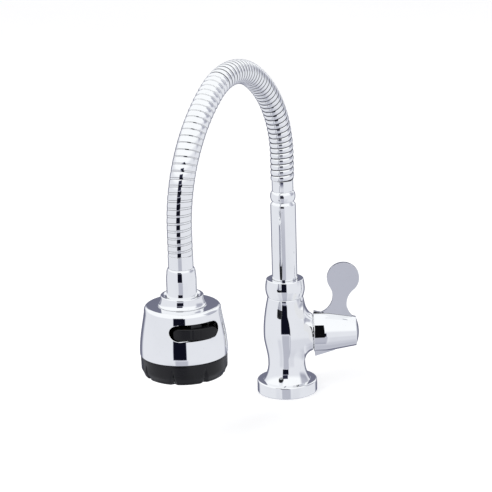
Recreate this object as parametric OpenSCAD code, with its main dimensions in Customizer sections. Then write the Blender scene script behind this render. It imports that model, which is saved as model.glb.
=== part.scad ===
// Deck-mounted sink tap with a bendable ribbed gooseneck and a two-way spray head.
// The origin is the centre of the flange's underside, +Z runs up the post and +X along the lever.

/* [Base] */
// Diameter of the round deck flange
flange_d = 48; // [46:0.5:54]
// Height of the deck flange
flange_h = 10; // [7:0.5:13]
// Minor radius of the threaded inlet in the foot
inlet_r = 9.3; // [8:0.1:9.6]
// Depth of the threaded inlet
inlet_depth = 13.5; // [11:0.5:14.5]

/* [Valve body] */
// Diameter of the body where it meets the flange
foot_d = 38; // [36:0.5:42]
// Diameter of the body's waist
waist_d = 29.6; // [29:0.2:32]
// Diameter of the body's belly, at the height of the lever
belly_d = 36; // [35:0.5:39]
// Diameter of the body's shoulder, under the collar
shoulder_d = 28; // [28:0.2:29]
// Height of the waist above the flange
waist_h = 14; // [12:0.5:16]
// Height of the belly, and of the lever's axis, above the waist
belly_h = 24.5; // [23:0.5:28]
// Height of the shoulder above the belly
shoulder_h = 31; // [29:0.5:36]
// Diameter of the side branch at its open end
branch_d = 30.6; // [29:0.2:31]
// Distance from the post's axis to the branch's end face
branch_x = 21.5; // [20.5:0.5:24]

/* [Collar] */
// Largest diameter of the collar nut
collar_d = 31.4; // [31.2:0.2:36]
// Diameter of the collar nut at its top edge
collar_top_d = 29.8; // [28.6:0.2:31]
// Height of the collar nut
collar_h = 14.6; // [14.4:0.2:18]

/* [Lever] */
// Diameter of the lever hub's skirt
skirt_d = 36; // [35:0.5:38]
// Width of the skirt along the axis
skirt_w = 7; // [6:0.5:8]
// Diameter of the hub behind the skirt
hub_d1 = 30.2; // [29:0.2:31]
// Diameter of the hub at its outer end
hub_d2 = 23.6; // [21:0.2:26]
// Length of the lever hub, skirt included
hub_len = 34; // [33.5:0.5:40]
// Bulge of the hub's end cap
cap_bulge = 2.2; // [1.5:0.1:3.5]
// Diameter of the paddle's round end
paddle_d = 25.6; // [22:0.2:30]
// Thickness of the paddle
paddle_t = 3.2; // [2.4:0.2:5]
// Height of the paddle's round end above the lever's axis
paddle_h = 44.5; // [41:0.5:52]

/* [Spout riser] */
// Outer diameter of the riser tube
riser_d = 20; // [20:0.1:20.4]
// Wall of the riser tube
riser_wall = 1.5; // [1.2:0.1:1.7]
// Length of the riser tube above the collar
riser_show = 61.4; // [52:0.2:74]
// Largest diameter of the bulb above the riser
bulb_d = 19.8; // [18.6:0.2:22]
// Height of the bulb
bulb_h = 8.5; // [7:0.5:10]
// Diameter of the sleeve that holds the hose's lower end
sleeve_d = 16.8; // [16.6:0.1:18]
// Height of that sleeve
sleeve_h = 9; // [7:0.5:12]

/* [Gooseneck] */
// Outer diameter over the hose's ribs
hose_d = 18.5; // [18.2:0.1:20]
// Straight length at each end of the hose
hose_straight = 18.5; // [18.5:0.5:26]
// Radius and turn of the first bend
bend_r1 = 83.5; // [75:0.5:95]
// Turn of the first bend, in degrees
bend_a1 = 59; // [50:1:66]
// Radius of the tight bend at the top
bend_r2 = 48.5; // [42:0.5:60]
// Turn of the tight bend, in degrees
bend_a2 = 67; // [58:1:72]
// Radius of the bend down to the spray head
bend_r3 = 115; // [105:1:125]
// Number of ribs on each stretch of hose
ribs_each = 6; // [5:1:8]
// Pitch of the ribs at the riser; it opens out towards the head
pitch_start = 4.1; // [3.9:0.1:4.6]
// Direction of the spout, in degrees from the lever's axis
spout_angle = 236.5; // [200:0.5:250]

/* [Spray head] */
// Diameter of the neck sleeve above the head
neck_d = 22.8; // [22.2:0.2:23.6]
// Length of the neck sleeve above the head's ring
neck_show = 20.5; // [16:0.5:30]
// Diameter of the head's top ring
ring_d = 31.8; // [31:0.2:34]
// Height of the top ring
ring_h = 7.6; // [6:0.2:9]
// Diameter of the bell's flat top
bell_top_d = 56.8; // [56:0.2:60]
// Largest diameter of the bell
bell_d = 65.2; // [64:0.2:70]
// Height of the chromed bell
bell_h = 37; // [37:0.5:42]
// Wall of the bell
bell_wall = 2; // [1.6:0.1:2.4]
// Height of the black nozzle ring that shows under the bell
grip_h = 16; // [14:0.5:20]
// Diameter of the nozzle ring's lower edge
grip_d = 59.6; // [58:0.2:61]
// Number of finger notches in the nozzle ring
notch_n = 8; // [6:1:12]
// Direction of the selector, in degrees from the spout's direction
selector_angle = 54.5; // [0:0.5:180]
// Width of the selector's window
window_w = 38; // [36:0.2:39]
// Height of the selector's window
window_h = 11.4; // [11.2:0.2:12.4]

/* [Hidden] */
$fn = 96;
eps = 0.01;
run_gap = 0.08;      // radial clearance of a shaft in its hole
free_gap = 0.3;      // clearance between moving faces that don't guide each other
seat_gap = 0.05;     // clearance between fitted pieces of one body
fine = 28;           // steps on a curved outline

// ---- heights along the post ----
waist_z = flange_h + waist_h;
valve_z = waist_z + belly_h;
shoulder_z = valve_z + shoulder_h;
collar_top = shoulder_z + collar_h;
riser_top = collar_top + riser_show;
lip_h = 2;           // height of the sloped lip that closes the riser tube
bulb_z = riser_top + lip_h;
sleeve_z = bulb_z + bulb_h;
hose_z = sleeve_z + sleeve_h;

// ---- valve body ----
tail_r = 12.6;
edge_r = 1.2;
gasket_r1 = 15.5;
gasket_r2 = flange_d / 2 - 3.5;
gasket_h = 2;
cavity_r = 9.6;
seat_x = -5.5;
port_r = 4;
feed_x = -10.6;
feed_r = 3.4;
outlet_x = 4;
outlet_r = 3.6;
neck_top = shoulder_z + 10.2;
nut_r = 12.9;        // thread radius of the neck that the collar screws onto
spigot_r = riser_d / 2;
socket_z = shoulder_z - 6.5;

// ---- headwork, measured along the lever's axis ----
seal_t = 1.2;
disc_t = 2.5;
disc_r = 8;
fixed_x = seat_x + seal_t;
moving_x = fixed_x + disc_t + seat_gap;
driver_x = moving_x + disc_t;
chamber_end = driver_x + 6;
housing_r = cavity_r - seat_gap;
hex_t = 4;
hex_r = 12.2;
stem_r = 4;
stem_neck_r = 6.5;
neck_end = branch_x + hex_t + 4;
clip_t = 1;
spline_x = neck_end + 2 * clip_t;
spline_len = 12.5;

// ---- lever ----
lever_gap = 0.5;
hub_x = branch_x + lever_gap;
hub_end = hub_x + hub_len;
skirt_end = hub_x + skirt_w;
skirt_wall = 1.9;
hub_fillet = 4.4;    // length of the hollow curve from the skirt down to the hub
boss_len = 9.8;
boss_w = 9;
boss_drop = skirt_d / 2 + 1;
boss_rise = 2.8;     // slope of the boss's underside, from the skirt to its end
screw_x = spline_x + 3.6;
screw_r = 2.5;
plug_r = 7.6;
plug_len = 5;
paddle_x = hub_x + 24.2;
neck_left = 8.55;    // paddle's centre to the edge of its waist, on the body's side
neck_left_z = 14.6;  // drop of that edge's hollow below the centre
neck_right = 2.55;
neck_right_z = 21.5;

// ---- riser ----
riser_in = riser_d / 2 - riser_wall;
glide_h = 2.2;
glide_z = neck_top + 0.15;
glide_r = nut_r - 0.5;
spigot_top = glide_z + glide_h + 1;
oring_r = 0.8;       // cord radius of the seals
groove_d = 2 * oring_r;
barb_r = 4.3;
liner_r = 5.5;
liner_bore = 4;
barb_len = 12;
barb_base = 11;
barb_drop = 47;      // depth of the lower barb's foot under the hose
barb_z = hose_z - barb_drop;
liner_start = barb_drop - barb_len;

// ---- gooseneck ----
stretches = 10;
hose_r = hose_d / 2;
rib_depth = 0.5;
hose_bore = hose_r - 1.25;
lip_r = hose_bore - 0.4;
lip_in = lip_r - 0.9;
lip_len = 2.2;
joint_gap = 1.5;
bend_a3 = 180 - bend_a1 - bend_a2;
arc1 = bend_r1 * bend_a1 * PI / 180;
arc2 = bend_r2 * bend_a2 * PI / 180;
arc3 = bend_r3 * bend_a3 * PI / 180;
hose_len = 2 * hose_straight + arc1 + arc2 + arc3;
rib_count = stretches * ribs_each;
pitch_end = 2 * hose_len / rib_count - pitch_start;
hose_sides = 12;
liner_sides = 8;

// The route runs in one upright plane: u is the distance from the post's axis, z the height.
bend_z = hose_z + hose_straight;
c1 = [bend_r1, bend_z];
c2 = c1 + (bend_r1 - bend_r2) * [-cos(bend_a1), sin(bend_a1)];
c3 = c2 + (bend_r2 - bend_r3) * [-cos(bend_a1 + bend_a2), sin(bend_a1 + bend_a2)];
reach = c3[0] + bend_r3;
hose_end_z = c3[1] - hose_straight;

// ---- spray head, heights ----
end_sleeve_h = 10;
taper_h = 4;
taper_z = hose_end_z - end_sleeve_h;
neck_z = taper_z - taper_h;
ring_top = neck_z - neck_show + taper_h;
bell_top = ring_top - ring_h;
bell_bottom = bell_top - bell_h;
face_z = bell_bottom - grip_h;
ring_flare = 2.2;    // how far the ring spreads at its foot
ring_dish = 1.4;     // depth of the hollow round the neck
trap_z = bell_top - 2.6;
trap_h = 2.6;
trap_r = neck_d / 2 + 1.7;
core_top = trap_z - trap_h - free_gap;
socket_r = 8;
core_gap = 2;        // room between the bell's wall and the core's skirt
core_r = bell_d / 2 - bell_wall - core_gap;
plate_t = 3;
plate_z = face_z + 1.8 + seat_gap;
core_bottom = plate_z + plate_t + seal_t;
core_wall = 2.2;
core_in = core_r - core_wall;
face_r = core_in - 1.8;
ring_seat_r = 14.4;  // radius of the neck ring where the bell sits on it
mat_t = 1.5;
window_z = bell_top - 13.3;
spool_at = 15.2;     // distance of the spool's axis from the head's axis
spool_r = 3;
spool_neck = 1.2;    // radius of the spool where the rocker's finger holds it
spool_z = window_z - 3;
spool_len = 20;
pin_at = 25;
pin_r = 1.2;
rock = 10;           // the rocker rests this many degrees off its middle
pad_h = 8.3;
pad_z = window_z - window_h / 2 + 0.4;
deck_t = 3;
deck_z = pad_z - deck_t - 0.5;   // underside of the core's deck
pad_r = 31.2;
pad_t = 3.6;
pad_len = 34.4;
finger = pin_at - spool_at - 2;   // the rocker's finger, from its pin to the spool
spool_shift = finger * sin(rock);
aerator_r = 9;
jet_ring = 20;
jet_n = 32;
jet_r = 0.8;

// ---- shared shapes ----
function arc_points(c, r, from, to, n) =
    [for (i = [0:n]) let (a = from + (to - from) * i / n) c + r * [cos(a), sin(a)]];

function tangent_r(dx, dz, r) = (dx * dx + dz * dz - r * r) / (2 * (r - dx));

module tube(r, bore, z0, z1) {
    translate([0, 0, z0]) difference() {
        cylinder(h = z1 - z0, r = r);
        translate([0, 0, -1]) cylinder(h = z1 - z0 + 2, r = bore);
    }
}

module rod(r, z0, z1) {
    translate([0, 0, z0]) cylinder(h = z1 - z0, r = r);
}

module oring(r, z) {
    translate([0, 0, z]) rotate_extrude() translate([r, 0]) circle(r = oring_r, $fn = 32);
}

// Puts a shape that is drawn up the Z axis onto the lever's axis.
module on_lever() {
    translate([0, 0, valve_z]) rotate([0, 90, 0]) children();
}

// The spray head's own frame: its axis upright, +X pointing away from the post.
module on_head() {
    rotate([0, 0, spout_angle]) translate([reach, 0, 0]) children();
}

// The selector's frame: +X points out through the middle of the window.
module on_selector() {
    on_head() rotate([0, 0, selector_angle]) children();
}

// ---- base and valve body ----
module base_flange() {
    r = flange_d / 2;
    color("gainsboro") difference() {
        rotate_extrude() polygon(concat(
            [[tail_r + seat_gap, 0]],
            arc_points([r - edge_r, edge_r], edge_r, -90, 0, 6),
            arc_points([r - edge_r, flange_h - edge_r], edge_r, 0, 90, 6),
            [[tail_r + seat_gap, flange_h]]));
        tube(gasket_r2, gasket_r1, -1, gasket_h);
    }
}

module deck_gasket() {
    color("dimgray") tube(gasket_r2 - seat_gap, gasket_r1 + seat_gap, 0, gasket_h);
}

// Outline of the body from its foot to its shoulder.
body_outline = concat(
    [for (i = [0:fine / 2]) let (t = i / (fine / 2))
        [waist_d / 2 + (foot_d - waist_d) / 2 * pow(1 - t, 2.2), flange_h + waist_h * t]],
    [for (i = [1:fine / 2]) let (t = i / (fine / 2))
        [waist_d / 2 + (belly_d - waist_d) / 4 * (1 - cos(180 * t)), waist_z + belly_h * t]],
    [for (i = [1:fine / 2]) let (t = i / (fine / 2))
        [shoulder_d / 2 + (belly_d - shoulder_d) / 2 * pow(cos(90 * t), 0.9),
         valve_z + shoulder_h * t]]);

// The side branch grows out of the body in a long fillet, taller above than below.
module branch() {
    end_r = branch_d / 2;
    sides = 32;
    foot = shoulder_d / 2;
    fillet = branch_x - 0.4 - foot;
    above = shoulder_z - 2 - valve_z;
    below = valve_z - waist_z;
    rings = concat(
        [[1, end_r - 4, above - 2, below - 2], [foot - 5, end_r - 1, above - 0.4, below - 0.4]],
        [for (b = [0:15:90]) let (drop = b < 90 ? 0 : 0.4)
            [branch_x - 0.4 - fillet * cos(b), end_r - drop,
             end_r - drop + (above - end_r) * (1 - sin(b)),
             end_r - drop + (below - end_r) * (1 - sin(b))]]);
    n = len(rings);
    points = [for (q = rings, j = [0:sides - 1]) let (a = 360 * (j + 0.5) / sides)
        [q[0], q[1] * sin(a), valve_z + (cos(a) > 0 ? q[2] : q[3]) * cos(a)]];
    walls = [for (i = [0:n - 2], j = [0:sides - 1]) let (
        j2 = (j + 1) % sides, a = i * sides + j, b = i * sides + j2)
        each [[a, b, b + sides], [a, b + sides, a + sides]]];
    ends = [for (j = [1:sides - 2]) each [
        [0, j + 1, j], [(n - 1) * sides, (n - 1) * sides + j, (n - 1) * sides + j + 1]]];
    polyhedron(points = points, faces = concat(walls, ends));
    on_lever() rod(end_r, foot - 8, branch_x);
}

module valve_body() {
    slant = atan(-feed_x / (valve_z - inlet_depth - 8.5));
    color("silver") difference() {
        union() {
            rotate_extrude() polygon(concat([[0, flange_h]], body_outline, [[0, shoulder_z]]));
            rod(tail_r, 0, flange_h + 1);
            rod(nut_r, shoulder_z - 1, neck_top);
            branch();
        }
        rod(inlet_r, -1, inlet_depth);
        translate([0, 0, inlet_depth - 1]) rotate([0, -slant, 0])
            cylinder(h = (valve_z - 8.5 - inlet_depth + 1) / cos(slant), r = feed_r);
        translate([feed_x, 0, valve_z - 9]) cylinder(h = 9 + port_r, r = feed_r);
        on_lever() rod(port_r, feed_x, seat_x + 1);
        on_lever() rod(cavity_r, seat_x, branch_x + 1);
        translate([outlet_x, 0, valve_z]) cylinder(h = socket_z - valve_z + 1, r = outlet_r);
        rod(spigot_r + run_gap, socket_z, neck_top + 1);
    }
}

module collar_nut() {
    r = collar_d / 2;
    r0 = shoulder_d / 2 + 0.4;
    r1 = collar_top_d / 2;
    low = shoulder_z + seat_gap;
    belt = shoulder_z + 0.45 * collar_h;
    rim = 0.8;
    color("silver") difference() {
        rotate_extrude() polygon(concat(
            [[0, low]],
            [for (i = [0:fine / 2]) let (t = i / (fine / 2))
                [r0 + (r - r0) * sin(90 * t), low + (belt - low) * t]],
            [for (i = [1:fine / 2]) let (t = i / (fine / 2))
                [r1 + (r - r1) * cos(90 * t), belt + (collar_top - rim - belt) * t]],
            arc_points([r1 - rim, collar_top - rim], rim, 15, 90, 5),
            [[0, collar_top]]));
        rod(nut_r + seat_gap, low - 1, glide_z + glide_h + 0.2);
        rod(riser_d / 2 + free_gap, low, collar_top + 1);
    }
}

// ---- headwork ----
module headwork_housing() {
    color("goldenrod") on_lever() difference() {
        union() {
            rod(housing_r, fixed_x, branch_x + eps);
            translate([0, 0, branch_x]) cylinder(h = hex_t, r = hex_r, $fn = 6);
            rod(stem_neck_r, branch_x, neck_end);
        }
        rod(disc_r + seat_gap, fixed_x - 1, chamber_end);
        rod(stem_r + run_gap, chamber_end - 1, neck_end + 1);
        // windows that let the water out of the disc chamber
        for (a = [0, 90, 180, 270]) rotate([0, 0, a])
            translate([0, -3, driver_x + 0.4]) cube([housing_r + 1, 6, 4.6]);
        tube(housing_r + 1, housing_r - 0.9, driver_x + 0.2, driver_x + 5.4);
        tube(housing_r + 1, housing_r - groove_d, 12, 14.2);
    }
}

module headwork_seal() {
    color("black") on_lever() oring(housing_r - groove_d + oring_r + 3 * eps, 13.1);
}

module seat_seal() {
    color("dimgray") on_lever() tube(disc_r, port_r + 0.3, seat_x, fixed_x);
}

// Each disc is drilled through on one diameter; a quarter turn brings the holes in line.
module valve_disc(x, turn) {
    on_lever() rotate([0, 0, turn]) difference() {
        rod(disc_r, x, x + disc_t);
        for (s = [-1, 1]) translate([s * 4.3, 0, x - 1]) cylinder(h = disc_t + 2, r = 2);
    }
}

module fixed_disc() {
    color("white") valve_disc(fixed_x, 0);
}

module moving_disc() {
    color("whitesmoke") intersection() {
        valve_disc(moving_x, 90);
        on_lever() rod(disc_r - run_gap, moving_x - 1, driver_x + 1);
    }
}

module spindle() {
    color("khaki") on_lever() difference() {
        union() {
            rod(stem_r, driver_x, spline_x + spline_len);
            rod(stem_r + 1.8, chamber_end - 2.2, chamber_end - 0.15);
            translate([-1.6, -6.4, driver_x]) cube([3.2, 12.8, 2.4]);
        }
        for (x = [chamber_end + 5, chamber_end + 10])
            tube(stem_r + 1, stem_r - groove_d, x - 1.1, x + 1.1);
        tube(stem_r + 1, stem_r - 0.6, neck_end + seat_gap, neck_end + seat_gap + clip_t);
        // spline teeth under the handle
        for (i = [0:11]) rotate([0, 0, i * 30 + 15])
            translate([stem_r, 0, spline_x]) rotate([0, 0, 45])
                cube([0.7, 0.7, 2 * spline_len], center = false);
    }
}

module spindle_seals() {
    color("black") on_lever() for (x = [chamber_end + 5, chamber_end + 10])
        oring(stem_r - groove_d + oring_r + 3 * eps, x);
}

module spindle_clip() {
    color("gray") on_lever() difference() {
        tube(stem_r + 1.6, stem_r - 0.6, neck_end + seat_gap, neck_end + seat_gap + clip_t);
        translate([0, -1.5, neck_end - 1]) cube([8, 3, 4]);
    }
}

// ---- lever ----
module paddle_outline() {
    r = paddle_d / 2;
    top = [paddle_x, paddle_h];
    rl = tangent_r(neck_left, neck_left_z, r);
    rr = tangent_r(neck_right, neck_right_z, r);
    left = [-neck_left - rl, -neck_left_z];
    right = [neck_right + rr, -neck_right_z];
    translate(top) circle(r = r);
    difference() {
        polygon([
            [skirt_end - 1, 10], [hub_end - 2.5, 10], top + right * r / (r + rr), top,
            top + left * r / (r + rl), [skirt_end - 1, skirt_d / 2 - 0.3]]);
        translate(top + left) circle(r = rl);
        translate(top + right) circle(r = rr);
    }
}

module lever_handle() {
    color("silver") difference() {
        union() {
            on_lever() rotate_extrude() polygon(concat(
                [[0, hub_x], [skirt_d / 2 - 0.6, hub_x], [skirt_d / 2, hub_x + 0.6]],
                [for (i = [0:8]) let (t = i / 8)
                    [hub_d1 / 2 + (skirt_d - hub_d1) / 4 * (1 + cos(180 * t)),
                     skirt_end - 1.2 + hub_fillet * t]],
                [[hub_d2 / 2, hub_end - 0.5], [hub_d2 / 2 - 0.5, hub_end]],
                [[0, hub_end]]));
            translate([0, paddle_t / 2, valve_z]) rotate([90, 0, 0])
                linear_extrude(paddle_t) paddle_outline();
            // boss for the set screw, under the hub
            translate([0, boss_w / 2, valve_z]) rotate([90, 0, 0]) linear_extrude(boss_w)
                polygon([
                    [hub_x + 0.8, -boss_drop], [skirt_end + boss_len, boss_rise - boss_drop],
                    [skirt_end + boss_len, -8], [hub_x + 0.8, -8]]);
        }
        on_lever() rod(skirt_d / 2 - skirt_wall, hub_x - 1, skirt_end - skirt_wall + 0.4);
        on_lever() rod(stem_neck_r + 2, hub_x, spline_x);
        on_lever() rod(stem_r + seat_gap, hub_x, spline_x + spline_len + 0.5);
        on_lever() rod(plug_r + seat_gap, hub_end - plug_len, hub_end + 1);
        translate([screw_x, 0, valve_z - 30]) cylinder(h = 30, r = screw_r + seat_gap);
    }
}

module set_screw() {
    color("gray") translate([screw_x, 0, valve_z - stem_r - 10]) difference() {
        cylinder(h = 10 - seat_gap, r = screw_r);
        translate([0, 0, -1]) cylinder(h = 3.5, r = 1.4, $fn = 6);
    }
}

module hub_cap() {
    r = hub_d2 / 2 - 0.1;
    ball = (r * r + cap_bulge * cap_bulge) / (2 * cap_bulge);
    half = asin(r / ball);
    color("silver") on_lever() union() {
        rotate_extrude() polygon(concat(
            [[0, hub_end + seat_gap]],
            [for (i = [0:8]) let (a = half * (1 - i / 8))
                [ball * sin(a), hub_end + seat_gap + cap_bulge - ball * (1 - cos(a))]]));
        rod(plug_r, hub_end - plug_len + seat_gap, hub_end + 2 * seat_gap);
    }
}

// ---- riser and swivel ----
module swivel_spigot() {
    color("goldenrod") difference() {
        union() {
            rod(spigot_r, socket_z + free_gap, spigot_top);
            rod(riser_in - seat_gap, spigot_top - 1, spigot_top + 7);
        }
        rod(6.3, socket_z, spigot_top + 8);
        for (z = [socket_z + 4, socket_z + 9]) tube(spigot_r + 1, spigot_r - groove_d, z - 1.1, z + 1.1);
        tube(spigot_r + 1, spigot_r - 0.7, glide_z, glide_z + glide_h);
    }
}

module spigot_seals() {
    color("black") for (z = [socket_z + 4, socket_z + 9]) oring(spigot_r - groove_d + oring_r + eps, z);
}

module glide_ring() {
    color("ivory") difference() {
        tube(glide_r, spigot_r - 0.7, glide_z, glide_z + glide_h);
        translate([0, -1, glide_z - 1]) cube([20, 2, glide_h + 2]);
    }
}

module riser_tube() {
    r = riser_d / 2;
    lip_edge = 0.4;
    color("silver") rotate_extrude() polygon(concat(
        [[riser_in, spigot_top], [r, spigot_top], [r, riser_top - lip_edge]],
        arc_points([r - lip_edge, riser_top - lip_edge], lip_edge, 15, 90, 5),
        [[riser_in, riser_top]]));
}

module hose_ferrule() {
    r = bulb_d / 2;
    low = sleeve_d / 2 - 0.6;
    color("silver") difference() {
        union() {
            rod(riser_in - seat_gap, riser_top - 7, riser_top + eps);
            translate([0, 0, riser_top + eps])
                cylinder(h = lip_h + 0.4, r1 = riser_d / 2 - 0.1, r2 = low + 0.1);
            rotate_extrude() polygon(concat(
                [[0, bulb_z]],
                [for (i = [0:12]) let (a = -76 + 152 * i / 12)
                    [low + (r - low) * cos(a), bulb_z + bulb_h * (0.5 + 0.5 * sin(a) / sin(76))]],
                [[0, bulb_z + bulb_h]]));
            rod(sleeve_d / 2, sleeve_z - 1, hose_z - seat_gap);
            rod(lip_in + 0.4, hose_z - 1, hose_z + 9);
        }
        rod(liner_r + 0.9, riser_top - 8, hose_z + 10);
    }
}

module lower_barb() {
    color("goldenrod") difference() {
        union() {
            rod(riser_in - seat_gap, barb_z, barb_z + barb_base);
            rod(liner_bore - seat_gap, barb_z + barb_base - 1, barb_z + barb_base + barb_len);
        }
        rod(2.6, barb_z - 1, barb_z + barb_base + barb_len + 1);
        tube(riser_in + 1, riser_in - seat_gap - groove_d, barb_z + 4, barb_z + 6.2);
    }
}

module barb_seal() {
    color("black") oring(riser_in - seat_gap - groove_d + oring_r + eps, barb_z + 5.1);
}

module lower_crimp() {
    color("gray") tube(liner_r + 0.6, liner_r + seat_gap, barb_z + barb_base + 2, barb_z + barb_base + 10);
}

// ---- gooseneck ----
// Place and heading at distance s along the route: [u, z, angle turned so far].
function on_route(s) =
    let (a = s - hose_straight, b = a - arc1, c = b - arc2, d = c - arc3)
    a <= 0 ? [0, hose_z + s, 0]
    : b <= 0 ? let (t = a / bend_r1 * 180 / PI) route_arc(c1, bend_r1, t)
    : c <= 0 ? let (t = bend_a1 + b / bend_r2 * 180 / PI) route_arc(c2, bend_r2, t)
    : d <= 0 ? let (t = bend_a1 + bend_a2 + c / bend_r3 * 180 / PI) route_arc(c3, bend_r3, t)
    : [reach, c3[1] - d, 180];
function route_arc(c, r, t) = [c[0] - r * cos(t), c[1] + r * sin(t), t];

// One ring of points round the route, at distance s and radius r.
function ring(s, r, sides) =
    let (p = on_route(s), dir = [cos(spout_angle), sin(spout_angle)])
    [for (j = [0:sides - 1]) let (
        a = 360 * j / sides, side = r * sin(a), out = p[0] - r * cos(a) * cos(p[2]))
        [out * dir[0] - side * dir[1], out * dir[1] + side * dir[0],
         p[1] + r * cos(a) * sin(p[2])]];

// A closed skin through a list of [s, r] rings, the last joined to the first.
module skin(rings, sides) {
    n = len(rings);
    points = [for (q = rings) each ring(q[0], q[1], sides)];
    faces = [for (i = [0:n - 1], j = [0:sides - 1]) let (
        i2 = (i + 1) % n, j2 = (j + 1) % sides,
        a = i * sides + j, b = i * sides + j2, c = i2 * sides + j2, d = i2 * sides + j)
        each [[a, b, c], [a, c, d]]];
    polyhedron(points = points, faces = faces);
}

// Where rib k starts; the pitch grows evenly along the hose.
function rib_s(k) = pitch_start * k + (pitch_end - pitch_start) * k * k / (2 * rib_count);

// One stretch of hose; a round lip on its far end nests in the next stretch's bore.
module gooseneck(i) {
    first = i * ribs_each;
    last = first + ribs_each;
    s0 = rib_s(first) + (i > 0 ? joint_gap / 2 : 0);
    s1 = rib_s(last) - (i < stretches - 1 ? joint_gap / 2 : 0);
    mid = rib_s(last);
    low = hose_r - rib_depth;
    crests = [for (k = [first:last - 1]) each [
        [(rib_s(k) + rib_s(k + 1)) / 2, hose_r], [k + 1 < last ? rib_s(k + 1) : s1, low]]];
    lip = i < stretches - 1 ? [
        [s1, lip_r - 0.05], [mid, lip_r], [mid + lip_len, sqrt(lip_r * lip_r - lip_len * lip_len)],
        [mid + lip_len, lip_in], [s1 - 1.5, lip_in], [s1 - 1.5, hose_bore]] : [[s1, hose_bore]];
    bore_end = i < stretches - 1 ? s1 - 1.5 : s1;
    bore = [for (k = [3:-1:0]) [s0 + (bore_end - s0) * k / 4, hose_bore]];
    color(i % 2 == 0 ? "silver" : "lightgray")
        skin(concat([[s0, low]], crests, lip, bore), hose_sides);
}

module water_liner() {
    end_s = hose_len + hose_end_z - (neck_z - 8.5);
    n = 30;
    steps = [for (i = [0:n]) -liner_start + (end_s + liner_start) * i / n];
    color("lightblue") skin(concat(
        [for (s = steps) [s, liner_r]],
        [for (i = [n:-1:0]) [steps[i], liner_bore + 0.3]]), liner_sides);
}

// ---- neck above the head ----
module hose_end_sleeve() {
    color("silver") on_head() difference() {
        union() {
            rod(hose_r, taper_z, hose_end_z - seat_gap);
            rod(lip_in + 0.4, hose_end_z - 1, hose_end_z + 8);
            rod(8.4, neck_z - 3, taper_z + 1);
        }
        rod(liner_r + 0.9, neck_z - 4, hose_end_z + 9);
    }
}

module neck_sleeve() {
    r = neck_d / 2;
    color("silver") on_head() difference() {
        rotate_extrude() polygon([
            [0, trap_z - trap_h], [trap_r, trap_z - trap_h], [trap_r, trap_z], [r, trap_z],
            [r, neck_z], [hose_r + 0.2, taper_z - seat_gap], [0, taper_z - seat_gap]]);
        rod(8.4 + seat_gap, trap_z - trap_h - 1, taper_z + 1);
    }
}

module head_spigot() {
    low = core_top - 10;
    color("goldenrod") on_head() difference() {
        union() {
            rod(8.4, trap_z + 6, neck_z - 15);
            rod(socket_r - run_gap, low, trap_z + 7);
            rod(liner_bore - seat_gap, neck_z - 16, neck_z + 1);
        }
        rod(2.6, low - 1, neck_z + 2);
        for (z = [low + 2.6, low + 7])
            tube(socket_r + 1, socket_r - run_gap - groove_d, z - 1.1, z + 1.1);
    }
}

module head_seals() {
    low = core_top - 10;
    color("black") on_head() for (z = [low + 2.6, low + 7])
        oring(socket_r - run_gap - groove_d + oring_r + eps, z);
}

module upper_crimp() {
    color("gray") on_head() tube(liner_r + 0.6, liner_r + seat_gap, neck_z - 7.5, neck_z - 3.5);
}

// ---- spray head ----
module neck_ring() {
    r = ring_d / 2;
    foot = bell_top + seat_gap + 0.4;
    color("silver") on_head() difference() {
        rotate_extrude() polygon(concat(
            [[0, core_top], [ring_seat_r, core_top], [ring_seat_r, bell_top + seat_gap]],
            [[r + ring_flare, bell_top + seat_gap]],
            [for (i = [0:8]) let (a = 90 * i / 8)
                [r + ring_flare * (1 - sin(a)), foot + (ring_top - 1.3 - foot) * (1 - cos(a))]],
            arc_points([r - 0.7, ring_top - 0.7], 0.7, 0, 90, 4),
            [[ring_seat_r, ring_top], [neck_d / 2, ring_top - ring_dish], [0, ring_top - ring_dish]]));
        rod(neck_d / 2 + free_gap, core_top - 1, ring_top + 1);
        rod(trap_r + free_gap, core_top - 1, trap_z + free_gap);
    }
}

// Outline of the bell's outside, from its top edge to its rim.
bell_outline = concat(
    arc_points([bell_top_d / 2 - 3.2, bell_top - 3.2], 3.2, 90, 10, 6),
    [for (i = [1:fine / 2]) let (t = i / (fine / 2))
        [bell_top_d / 2 + (bell_d - bell_top_d) / 2 * sin(90 * pow(t, 1.15)),
         bell_top - 4 - (bell_h - 5) * t]],
    [[bell_d / 2 - 0.3, bell_bottom]]);

module bell_housing() {
    color("silver") on_head() difference() {
        rotate_extrude() polygon(concat([[ring_seat_r + 2 * seat_gap, bell_top]], bell_outline,
            [for (i = [len(bell_outline) - 1:-1:0])
                [bell_outline[i][0] - bell_wall, min(bell_outline[i][1], bell_top - bell_wall)]],
            [[ring_seat_r + 2 * seat_gap, bell_top - bell_wall]]));
        rotate([0, 0, selector_angle]) translate([12, 0, window_z]) rotate([90, 0, 90])
            linear_extrude(40) {
                square([window_w - window_h, window_h], center = true);
                for (s = [-1, 1]) translate([s * (window_w - window_h) / 2, 0])
                    circle(d = window_h);
            }
    }
}

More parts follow.
